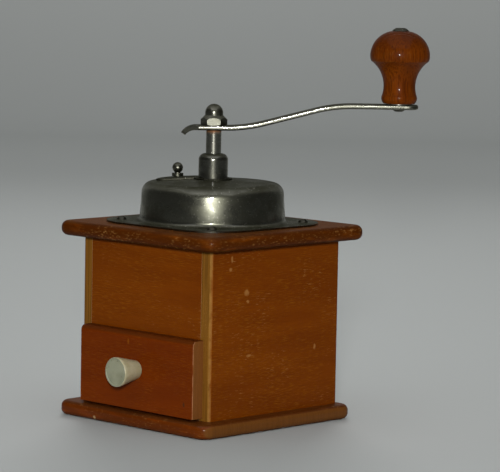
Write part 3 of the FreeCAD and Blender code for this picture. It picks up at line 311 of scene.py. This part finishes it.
class Beech:
    """A wooden finish in the making. Each step lays one more thing over its colour and roughness."""

    def __init__(self, name, grain, dark, light, pale, seed, flecks=0.1):
        self.material, self.tree, self.shader = start(name)
        self.grain = grain
        tree = self.tree
        cloud = between(tree, clouds(tree, grain_size(grain, *CLOUD), detail=3, seed=seed), low=0.3, high=0.7)
        fibre = clouds(tree, grain_size(grain, *FIBRE), detail=3, seed=seed)
        crowd = between(tree, clouds(tree, grain_size(grain, *CROWD), seed=seed + 1), low=0.28, high=0.6)
        fleck = between(tree, clouds(tree, grain_size(grain, *FLECK), seed=seed), low=0.5, high=0.68)
        fleck = times(tree, fleck, crowd)
        self.colour = light
        self.lay(cloud, dark, strength=0.5)
        self.lay(between(tree, fibre, low=0.45, high=0.8), dark, strength=0.45)
        self.lay(fleck, pale, strength=flecks)
        self.rough = sums(tree, "MULTIPLY_ADD", fibre, FIBRE_GLOSS, GLOSS)
        self.height = sums(tree, "ADD", times(tree, fibre, FIBRE_RELIEF), fleck)

    def lay(self, share, tone, strength=1.0, rough=None):
        """Put a tone over the colour where share is 1, and a roughness with it if one is given."""
        share = times(self.tree, share, strength)
        self.colour = blend(self.tree, share, self.colour, tone)
        if rough is not None:
            mix = {0: share, 2: self.rough, 3: rough}
            self.rough = add(self.tree, "Mix", mix, data_type="FLOAT").outputs[0]

    def varnish(self, coat, coat_roughness=0.12):
        """Join everything to the shader under a clear coat."""
        feed(self.tree, self.shader, {
            "Base Color": self.colour, "Roughness": self.rough, "Specular IOR Level": WOOD_SPECULAR,
            "Coat Weight": coat, "Coat Roughness": coat_roughness})
        bumped(self.tree, self.shader, self.height, WOOD_RELIEF)
        return self.material


side_wood = Beech("side_board_beech", "Y", AMBER_DARK, AMBER, AMBER_PALE, seed=1.0, flecks=0.3)
print("plain beech:", len(side_wood.tree.nodes), "nodes")

# %% [markdown]
# ## End grain
# The side boards run the whole depth of the box, so their ends show as paler strips beside the drawer. Wood
# cut across soaks up the varnish and stays dull, and its growth rings show as fine lines. The ends could be
# faces with a material of their own. A mask does it without touching the mesh: it is 1 where a face looks
# along the grain.

# %% End grain
RING_LENGTH, RING_WIDTH = 40, 0.9
RING_SHADE, PORE_SHARE = 0.62, 0.35
END_TONE = colour(0.195, 0.080, 0.010)


def facing(tree, axis, low=0.6, high=0.8):
    """1 on faces square to an axis, 0 on the others."""
    return between(tree, sums(tree, "ABSOLUTE", along(tree, axis, "Normal")), low, high)


def end_grain(wood, axis, tone, across, ringed):
    """Paler faces square to an axis, with growth rings as fine lines across another axis."""
    tree = wood.tree
    size = [RING_WIDTH if side == across else RING_LENGTH for side in "XYZ"]
    rings = between(tree, clouds(tree, size, detail=3, seed=4.0), low=0.38, high=0.62)
    pores = between(tree, clouds(tree, size=0.5, detail=1, seed=2.0), low=0.5, high=0.75)
    shade = colour(*(part * RING_SHADE for part in tone[:3]))
    face = blend(tree, times(tree, rings, ringed), tone, shade)
    face = blend(tree, times(tree, pores, PORE_SHARE), face, shade)
    wood.lay(facing(tree, axis), face, rough=0.5)


end_grain(side_wood, "Y", END_TONE, across="X", ringed=0.8)
print("with end grain:", len(side_wood.tree.nodes), "nodes")

# %% [markdown]
# ## Wear
# An old box is rubbed pale along its corners, scuffed in places and dented where it was knocked. Wear could
# be painted by hand on an image. Masks put it where it belongs by rule: a corner is where the surface faces
# two ways at once, scuffs are short lines that gather in patches, and a dent is a ragged spot at a place of
# its own.

# %% Wear
CHIP = colour(0.33, 0.15, 0.04)
RUBBED_SIDE = colour(0.33, 0.165, 0.04)
CHIP_ROUGH = 0.55
SIDE_DENTS = [  # place and size, in mm
    ((50, -23.0, 75.3), (3.0, 2.4, 2.2)),
    ((50, -22.0, 70.5), (3.0, 1.4, 1.2)),
    ((50, -34.5, 94.0), (3.0, 1.0, 2.6)),
    ((50, -35.5, 88.5), (3.0, 1.6, 1.2)),
    ((50, -20.5, 41.0), (3.0, 2.4, 1.0)),
    ((50, 31.0, 41.5), (3.0, 1.2, 2.0)),
]


def rubbed_corner(wood, first, second, tone, strength):
    """Varnish rubbed off a rounded corner between the faces of two axes, in broken lines."""
    tree = wood.tree
    corner = times(tree, *(facing(tree, axis, low=0.2, high=0.5) for axis in (first, second)))
    broken = between(tree, clouds(tree, size=6, detail=3, seed=8.0), low=0.25, high=0.6)
    wood.lay(times(tree, corner, broken), tone, strength)


def scuffs(wood, tone, strength):
    """Fine scratches and rubbed places where the varnish has gone pale."""
    tree = wood.tree
    where = between(tree, clouds(tree, size=30, seed=9.0), low=0.48, high=0.66)
    lines = clouds(tree, grain_size(wood.grain, length=4, width=0.55), seed=6.0)
    wood.lay(times(tree, where, between(tree, lines, low=0.6, high=0.72)), tone, strength, CHIP_ROUGH)


def mark(wood, spot, size, tone, strength=0.8):
    """One dent, chip or stain round a spot, both in millimetres, ragged at its edge."""
    tree, spot, size = wood.tree, Vector(spot) * MM, Vector(size) * MM
    offset = add(tree, "VectorMath", {0: place(tree), 1: spot}, operation="SUBTRACT").outputs[0]
    scaled = add(tree, "VectorMath", {0: offset, 1: size}, operation="DIVIDE").outputs[0]
    length = add(tree, "VectorMath", {0: scaled}, operation="LENGTH").outputs["Value"]
    ragged = sums(tree, "ADD", length, clouds(tree, size=1, seed=5.0))
    wood.lay(inverse(tree, between(tree, ragged, low=0.9, high=1.5)), tone, strength, CHIP_ROUGH)


rubbed_corner(side_wood, "X", "Y", RUBBED_SIDE, strength=0.5)
scuffs(side_wood, CHIP, strength=0.5)
for spot, size in SIDE_DENTS:
    mark(side_wood, spot, size, CHIP, strength=0.6)
print("with wear:", len(side_wood.tree.nodes), "nodes, of which", len(SIDE_DENTS), "dents")

# %% [markdown]
# ## The walls of the box
# The panel over the drawer and the rear wall stand between the two side boards, with their grain lying
# across. Inside, the wood was never varnished. A second material could cover the inner faces. It is simpler
# to lay plain wood over every point that is nearer to the middle than a level just behind those faces.

# %% The walls of the box
RAW_TONE = colour(0.42, 0.25, 0.12)
BEHIND_INNER_FACE = 42.9 * MM
BOX_COAT = 0.05


def raw_inside(wood, axis):
    """Plain wood on the faces that look into the box."""
    tree = wood.tree
    from_middle = sums(tree, "ABSOLUTE", along(tree, axis))
    wood.lay(sums(tree, "LESS_THAN", from_middle, BEHIND_INNER_FACE), RAW_TONE, rough=0.6)


def apply(material, *names):
    """Give frame pieces a finish."""
    for name in names:
        for slot in node[name].material_slots:
            slot.material = material
    print(material.name, "on", ", ".join(names))


raw_inside(side_wood, "X")
apply(side_wood.varnish(BOX_COAT), "left_wall", "right_wall")

panel_wood = Beech("panel_beech", "X", AMBER_DARK, AMBER, AMBER_PALE, seed=3.0, flecks=0.25)
scuffs(panel_wood, CHIP, strength=0.35)
raw_inside(panel_wood, "Y")
apply(panel_wood.varnish(BOX_COAT), "front_panel", "rear_wall")

# %% [markdown]
# ## Top board and base board
# These two take the knocks. Their rims are rounded, darker with grime and with painted shade, and rubbed down
# to pale wood where they are touched most, and dust dulls their upper faces. A rim could be picked out by its
# curvature, but that needs a fine mesh. Here it is found from the board's own size: how far a point is from
# the middle, compared with half the board.

# %% Top board and base board
RIM_GRIME_AND_SHADE, RIM_BARE = colour(0.047, 0.0105, 0.0008), colour(0.30, 0.145, 0.04)
RIM_INNER, RIM_OUTER = -5 * MM, -2 * MM
BOARD_DUST = colour(0.04, 0.022, 0.006)
TOP_LIGHT, BASE_LIGHT = colour(0.13, 0.031, 0.0015), colour(0.165, 0.03, 0.001)
BASE_END, BASE_CHIP = colour(0.128, 0.045, 0.008), colour(0.5, 0.34, 0.16)


def shaded_worn_rim(wood, low, high, grime_and_shade, wear):
    """The rim of a board between two corners: darker with grime and painted shade, and rubbed through in pale
    chips.
    """
    tree, past = wood.tree, []
    for axis, side in (("X", 0), ("Y", 1)):
        offset = sums(tree, "SUBTRACT", along(tree, axis), (low[side] + high[side]) / 2)
        past.append(sums(tree, "SUBTRACT", sums(tree, "ABSOLUTE", offset), (high[side] - low[side]) / 2))
    rim = between(tree, sums(tree, "MAXIMUM", *past), RIM_INNER, RIM_OUTER)
    dirt_and_shade = between(tree, clouds(tree, size=(16, 16, 3), detail=3, seed=1.5), low=0.2, high=0.55)
    # The darker rim is partly grime and partly painted shade on the rounded edge.
    wood.lay(times(tree, rim, dirt_and_shade), RIM_GRIME_AND_SHADE, grime_and_shade)
    patch = between(tree, clouds(tree, size=(30, 30, 8), seed=3.0), low=0.3, high=0.7)
    chips = between(tree, clouds(tree, size=(2.2, 2.2, 0.9), detail=3, seed=7.0), low=0.54, high=0.74)
    wood.lay(times(tree, rim, times(tree, patch, chips)), RIM_BARE, wear, rough=0.6)


def board_finish(name, seed, light, grime_and_shade, wear):
    """Beech with a worn rim that also carries painted shade, fitted to the board of that name."""
    low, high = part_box(name)
    wood = Beech(f"{name}_beech", "X", AMBER_DARK, light, AMBER_PALE, seed)
    scuffs(wood, CHIP, strength=0.5)
    wood.lay(facing(wood.tree, "Z"), BOARD_DUST, strength=0.5, rough=0.85)
    shaded_worn_rim(wood, low, high, grime_and_shade, wear)
    print(name, "is", [round((high[side] - low[side]) / MM, 1) for side in (0, 1)], "mm")
    return wood


top_wood = board_finish("top_plate", seed=5.0, light=TOP_LIGHT, grime_and_shade=0.85, wear=0.7)
apply(top_wood.varnish(coat=0.04), "top_plate")
base_wood = board_finish("base_plate", seed=7.0, light=BASE_LIGHT, grime_and_shade=0.5, wear=0.35)
mark(base_wood, (-27.0, -61.5, 1.8), (1.3, 2.0, 1.3), BASE_CHIP)
end_grain(base_wood, "X", BASE_END, across="Y", ringed=0.3)
apply(base_wood.varnish(coat=0.2), "base_plate")

# %% [markdown]
# ## The drawer's front
# The front is cut from redder wood than the box, and its ends show end grain. Its rounded top edge faces up
# and is darkened with painted shade. All the steps are known by now, so this cell only chooses them. Their
# order matters, as with real paint: what is laid last lies on top.

# %% The drawer's front
RED_DARK, RED = colour(0.092, 0.013, 0.0004), colour(0.143, 0.023, 0.0006)
RED_PALE = colour(0.26, 0.08, 0.005)
RED_END, RUBBED_FRONT = colour(0.165, 0.058, 0.013), colour(0.34, 0.17, 0.08)
FRONT_TOP_SHADE = colour(0.055, 0.016, 0.003)
COFFEE = colour(0.045, 0.02, 0.009)

front_wood = Beech("drawer_front_beech", "X", RED_DARK, RED, RED_PALE, seed=11.0, flecks=0.2)
end_grain(front_wood, "X", RED_END, across="Y", ringed=0.2)
# Painted shade: the rounded top edge, which faces up, is darkened.
upward_shade = between(front_wood.tree, along(front_wood.tree, "Z", "Normal"), low=0.1, high=0.6)
front_wood.lay(upward_shade, FRONT_TOP_SHADE, strength=0.6, rough=0.6)
rubbed_corner(front_wood, "X", "Y", RUBBED_FRONT, strength=0.6)
scuffs(front_wood, RED_PALE, strength=0.4)
mark(front_wood, (38.5, -57.6, 16.5), (1.0, 1.5, 1.7), COFFEE)
mark(front_wood, (-5.0, -57.4, 46.0), (1.0, 1.5, 2.2), RED_PALE, strength=0.5)
apply(front_wood.varnish(coat=0.06), "drawer_front")

# %% [markdown]
# ## The drawer's box
# The boards behind the front are bare, and brown at the bottom where ground coffee has lain for years. The
# stain is a mask that fades with height, and noise is added to the height, so that its edge wanders as a
# real one does.

# %% The drawer's box
RAW_DARK, RAW_PALE = colour(0.33, 0.18, 0.08), colour(0.52, 0.35, 0.19)
STAIN_FULL, STAIN_GONE, STAIN_WANDER = 20 * MM, 38 * MM, 20 * MM


def bare_wood(name, grain):
    """Unvarnished drawer board with a coffee stain near the floor of the drawer."""
    wood = Beech(name, grain, RAW_DARK, RAW_TONE, RAW_PALE, seed=13.0)
    tree = wood.tree
    wander = times(tree, clouds(tree, size=(9, 9, 6), detail=3, seed=2.0), STAIN_WANDER)
    height = sums(tree, "ADD", along(tree, "Z"), wander)
    wood.lay(inverse(tree, between(tree, height, STAIN_FULL, STAIN_GONE)), COFFEE, strength=0.75, rough=0.7)
    return wood.varnish(coat=0.0, coat_roughness=0.5)


apply(bare_wood("drawer_side_beech", "Y"), "drawer_left_side", "drawer_right_side", "drawer_bottom")
apply(bare_wood("drawer_back_beech", "X"), "drawer_back")

# %% [markdown]
# ## The crank knob
# A turned knob has its grain along its axis, and it is the glossiest wood on the mill, because a hand
# polishes it. The same beech does, with the grain along Z, darker lines in it and a harder, clearer coat.
# Its top is darkened with painted shade, where it faces up.

# %% The crank knob
KNOB_DARK, KNOB_LIGHT = colour(0.058, 0.009, 0.0005), colour(0.15, 0.031, 0.001)
KNOB_PALE = colour(0.24, 0.085, 0.008)
KNOB_LINE, KNOB_TOP_SHADE = colour(0.04, 0.007, 0.0004), colour(0.05, 0.009, 0.0008)
LINE_LENGTH, LINE_WIDTH = 40, 0.9

knob_wood = Beech("crank_knob_beech", "Z", KNOB_DARK, KNOB_LIGHT, KNOB_PALE, seed=17.0, flecks=0.35)
tree = knob_wood.tree
lines = clouds(tree, grain_size("Z", LINE_LENGTH, LINE_WIDTH), seed=12.0)
knob_wood.lay(between(tree, lines, low=0.48, high=0.68), KNOB_LINE, strength=0.6)
# Painted shade: faces that look up are darkened.
shaded_top = between(tree, along(tree, "Z", "Normal"), low=0.0, high=0.8)
knob_wood.lay(shaded_top, KNOB_TOP_SHADE, strength=0.6)
apply(knob_wood.varnish(coat=0.08, coat_roughness=0.05), "crank_knob")

# %% [markdown]
# ## Worn nickel plate
# Old nickel is a warm grey mirror that has gone dull in patches. Where it faces up, dust and grease lie on
# it, so it is darker and rougher there. Fine pits show where the plate has lifted. One roughness gives
# either a mirror or a satin metal, and old plate is both: a satin body below, and what is left of the
# polish as a thin clear coat above. Colour, roughness and coat follow the same masks, which is what makes a
# metal look used instead of painted.

# %% Nickel
DULL_SHARE, DULL_LOSS = 0.7, 0.5
DULL_ROUGH, FINE_ROUGH, DUST_ROUGH = 0.12, 0.1, 0.5
FINE_RELIEF, METAL_RELIEF = 0.4, 0.02
SKIN_IOR, METAL_SPECULAR, METAL_TINT = 1.9, 0.08, colour(0.9, 0.88, 0.78)
DUST_TONE, PIT_TONE = colour(0.014, 0.014, 0.006), colour(0.05, 0.045, 0.03)
SPECK_TONE = colour(0.3, 0.295, 0.25)


def plated(name, bright, dull, dusty, satin, pits, skin=0.6, polish=0.09, bulge=None):
    """Satin metal with dull clouds, dusty upper faces, pits and specks under a thin polished skin.
    Bulge makes more relief from the node tree."""
    material, tree, shader = start(name)
    cloud = between(tree, clouds(tree, size=(11, 11, 8), detail=5, seed=2.0), low=0.38, high=0.62)
    fine = clouds(tree, size=0.5, seed=3.0)
    pit = between(tree, clouds(tree, size=0.55, detail=1, seed=8.0), low=0.70, high=0.76)
    speck = between(tree, clouds(tree, size=0.8, detail=1, seed=11.0), low=0.68, high=0.74)
    dust = times(tree, between(tree, along(tree, "Z", "Normal"), low=0.35, high=0.95), dusty)
    tone = blend(tree, times(tree, cloud, DULL_SHARE), bright, dull)
    tone = blend(tree, dust, tone, DUST_TONE)
    tone = blend(tree, times(tree, pit, pits), tone, PIT_TONE)
    tone = blend(tree, times(tree, speck, pits), tone, SPECK_TONE)
    rough = satin
    for mask, amount in ((cloud, DULL_ROUGH), (fine, FINE_ROUGH), (dust, DUST_ROUGH)):
        rough = sums(tree, "MULTIPLY_ADD", mask, amount, rough)
    bare = inverse(tree, dust)
    shiny = times(tree, bare, inverse(tree, times(tree, cloud, DULL_LOSS)))
    feed(tree, shader, {
        "Base Color": tone, "Roughness": rough, "Metallic": bare, "Coat Weight": times(tree, shiny, skin),
        "Coat Roughness": polish, "Coat IOR": SKIN_IOR,
        "Specular IOR Level": METAL_SPECULAR, "Specular Tint": METAL_TINT})
    relief = sums(tree, "SUBTRACT", times(tree, fine, FINE_RELIEF), pit)
    if bulge is not None:
        relief = sums(tree, "ADD", relief, bulge(tree))
    bumped(tree, shader, relief, METAL_RELIEF)
    return material


crank_metal = plated("crank_nickel", colour(0.14, 0.139, 0.112), colour(0.08, 0.079, 0.058),
                     dusty=0.9, satin=0.18, pits=0.5, skin=0.4)
apply(crank_metal, "crank_arm", "hatch_knob", "cap_nut")
sleeve_metal = plated("sleeve_nickel", colour(0.1, 0.099, 0.08), colour(0.05, 0.049, 0.036),
                      dusty=0.85, satin=0.2, pits=0.5, skin=0.4)
apply(sleeve_metal, "bearing_sleeve")
hatch_metal = plated("hatch_nickel", colour(0.035, 0.034, 0.025), colour(0.02, 0.02, 0.014),
                     dusty=0.7, satin=0.45, pits=0.7, skin=0.03)
apply(hatch_metal, "fill_hatch")

# %% [markdown]
# ## The dome
# The dome is pressed from sheet, and its wall bulges by a fraction of a millimetre, too little to see in
# its outline. It shows in the lamp's reflection, which a straight wall would draw out into one even stripe.
# The bulge is relief: a parabola of the height, round the level at which the wall stands out most.

# %% The dome
BULGE_DEPTH, BULGE_HALF, BULGE_DROP = 0.5, 9 * MM, 2 * MM
dome_low, dome_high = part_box("hopper_dome")
bulge_level = (dome_low[2] + dome_high[2]) / 2 - BULGE_DROP


def wall_bulge(tree):
    """A parabola that falls off above and below the level of the bulge."""
    rise = sums(tree, "DIVIDE", sums(tree, "SUBTRACT", along(tree, "Z"), bulge_level), BULGE_HALF)
    return times(tree, times(tree, rise, rise), -BULGE_DEPTH / METAL_RELIEF)


dome_metal = plated("dome_nickel", colour(0.112, 0.112, 0.087), colour(0.056, 0.056, 0.04),
                    dusty=0.85, satin=0.19, pits=0.7, skin=0.5, polish=0.06, bulge=wall_bulge)
apply(dome_metal, "hopper_dome")
print("the wall stands out most at", round(bulge_level / MM, 1), "mm")

# %% [markdown]
# ## Steel
# The shaft, the screws and the rivet are plain steel. It takes the recipe of the plate with other tones.
# Under the arm the shaft is rusty, because no hand wipes it there. Rust is no metal, so it is laid over the
# finished tree: it covers the colour, and takes away the metal and the polish.

# %% Steel
RUST = colour(0.16, 0.055, 0.012)
RUST_SHARE, RUST_WANDER = 0.8, 2 * MM
RUST_BELOW_NUT = 2.7 * MM
RUST_FADE, RUST_FULL = 1.5 * MM, 0.5 * MM


def rusty(material, low, high):
    """Lay a thin coat of rust over a metal, from none at the low height to full at the high one."""
    tree = material.node_tree
    shader = tree.nodes["Principled BSDF"]
    edge = sums(tree, "ADD", along(tree, "Z"), times(tree, clouds(tree, size=3, seed=4.0), RUST_WANDER))
    coat = times(tree, between(tree, edge, low, high), RUST_SHARE)
    before = {name: shader.inputs[name].links[0].from_socket
              for name in ("Base Color", "Metallic", "Coat Weight")}
    feed(tree, shader, {
        "Base Color": blend(tree, coat, before["Base Color"], RUST),
        "Metallic": times(tree, before["Metallic"], inverse(tree, coat)),
        "Coat Weight": times(tree, before["Coat Weight"], inverse(tree, coat))})
    return material


bright_steel = plated("bright_steel", colour(0.36, 0.35, 0.31), colour(0.2, 0.19, 0.16),
                      dusty=0.3, satin=0.2, pits=0.4)
apply(bright_steel, "knob_washer", "drawer_knob_screw", "base_screws", "housing_screws", "bridge_screws",
      "adjusting_screw", "thrust_ball", "burr_nut")
dark_steel = plated("dark_steel", colour(0.05, 0.048, 0.037), colour(0.022, 0.02, 0.015),
                    dusty=0.3, satin=0.3, pits=0.4, skin=0.15)
apply(dark_steel, "dome_screws", "knob_rivet")
shaft_steel = plated("shaft_steel", colour(0.19, 0.186, 0.155), colour(0.11, 0.105, 0.083),
                     dusty=0.3, satin=0.22, pits=0.4)
rust_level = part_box("cap_nut")[0][2] - RUST_BELOW_NUT
apply(rusty(shaft_steel, rust_level - RUST_FADE, rust_level + RUST_FULL), "main_shaft")
print("rust from", round(rust_level / MM, 1), "mm up")

# %% [markdown]
# ## Cast iron
# The funnel, the bridge and the burrs are grey iron: nearly black, rough and pebbled by the sand of the
# mould. The burrs are finer, because they were ground. Pebbles could be displaced in the mesh, but these
# pieces sit inside the box, so a bump is enough.

# %% Cast iron
IRON_SHADE, IRON_METAL = 0.55, 0.85
GRIT_ROUGH, IRON_ROUGH = 0.3, 0.35


def cast(name, tone, pebble, depth):
    """Iron with a pebbled skin, in millimetres."""
    material, tree, shader = start(name)
    grit = clouds(tree, pebble, detail=3, seed=1.0)
    patch = between(tree, clouds(tree, size=12, seed=5.0), low=0.35, high=0.65)
    dark = colour(*(part * IRON_SHADE for part in tone[:3]))
    feed(tree, shader, {
        "Base Color": blend(tree, patch, dark, tone), "Metallic": IRON_METAL,
        "Roughness": sums(tree, "MULTIPLY_ADD", grit, GRIT_ROUGH, IRON_ROUGH)})
    bumped(tree, shader, grit, depth)
    return material


cast_iron = cast("cast_grey_iron", colour(0.13, 0.128, 0.12), pebble=0.8, depth=0.15)
apply(cast_iron, "burr_housing", "lower_bridge")
burr_iron = cast("burr_iron", colour(0.2, 0.195, 0.18), pebble=0.4, depth=0.04)
apply(burr_iron, "inner_burr", "outer_burr")

# %% [markdown]
# ## The drawer knob
# The ivory knob is turned: a narrow foot, a straight flare and a flat face inside a fine groove. It could
# be a cone with bevels, but a turned piece needs only half its outline. The outline is a chain of edges,
# spun once round the knob's axis, and a subdivision surface rounds it. Points that stand close together
# keep a corner tight, as at the rim.

# %% The drawer knob
KNOB_STEPS, ROUNDING_LEVELS = 32, 2
KNOB_OUTLINE = [  # radius and height, in mm
    (0.0, 15.1), (5.6, 15.05), (6.5, 14.95), (6.75, 14.8), (7.0, 15.05), (7.5, 15.25), (8.05, 14.9),
    (8.1, 13.9), (7.9, 12.7), (6.7, 7.6), (5.3, 1.2), (5.1, 0.2), (5.0, 0.0), (0.0, 0.0),
]
knob_low, knob_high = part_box("drawer_knob")
knob_foot = Vector(((knob_low[0] + knob_high[0]) / 2, knob_high[1], (knob_low[2] + knob_high[2]) / 2))


def turned(name, outline, foot, axis):
    """Spin an outline of radius and height, in millimetres, round an axis that points out of the piece."""
    shape = bmesh.new()
    side = axis.orthogonal().normalized()
    points = [shape.verts.new(foot + side * radius * MM + axis * up * MM) for radius, up in outline]
    chain = [shape.edges.new(pair) for pair in zip(points, points[1:])]
    bmesh.ops.spin(shape, geom=points + chain, cent=foot, axis=axis, angle=2 * math.pi,
                   steps=KNOB_STEPS, use_merge=True)
    return finished(name, shape)


ivory_knob = turned("ivory_knob", KNOB_OUTLINE, knob_foot, Vector((0, -1, 0)))
rounding = ivory_knob.modifiers.new("rounding", "SUBSURF")
rounding.levels = rounding.render_levels = ROUNDING_LEVELS
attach(ivory_knob, "drawer")
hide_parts("drawer_knob")
print("ivory knob:", len(ivory_knob.data.polygons), "faces before rounding")

# %% [markdown]
# ## Ivory
# Ivory plastic lets a little light in, so its shadows are warm: that is subsurface scattering, with a reach
# of a few millimetres. A plain pale colour would look like chalk. Age has left faint clouds and tiny dark
# specks, and fingers have greyed the face.

# %% Ivory
WORN_DARK, WORN_PALE = colour(0.21, 0.215, 0.14), colour(0.265, 0.27, 0.185)
CREAM_DARK, CREAM_PALE = colour(0.36, 0.33, 0.195), colour(0.43, 0.395, 0.255)
IVORY_SPECK, SPECK_SHARE = colour(0.11, 0.085, 0.04), 0.7
LIGHT_REACH = (0.004, 0.003, 0.0015)

ivory, tree, shader = start("ivory")
clouding = between(tree, clouds(tree, size=7, detail=3, seed=1.0), low=0.35, high=0.65)
specks = between(tree, clouds(tree, size=0.9, detail=1, seed=6.0), low=0.70, high=0.78)
worn_face = blend(tree, clouding, WORN_DARK, WORN_PALE)
cream = blend(tree, clouding, CREAM_DARK, CREAM_PALE)
tone = blend(tree, facing(tree, "Y"), cream, worn_face)
tone = blend(tree, times(tree, specks, SPECK_SHARE), tone, IVORY_SPECK)
feed(tree, shader, {
    "Base Color": tone, "Roughness": 0.34, "Subsurface Weight": 0.15, "Subsurface Radius": LIGHT_REACH})
ivory_knob.data.materials.append(ivory)
print("ivory:", len(tree.nodes), "nodes")
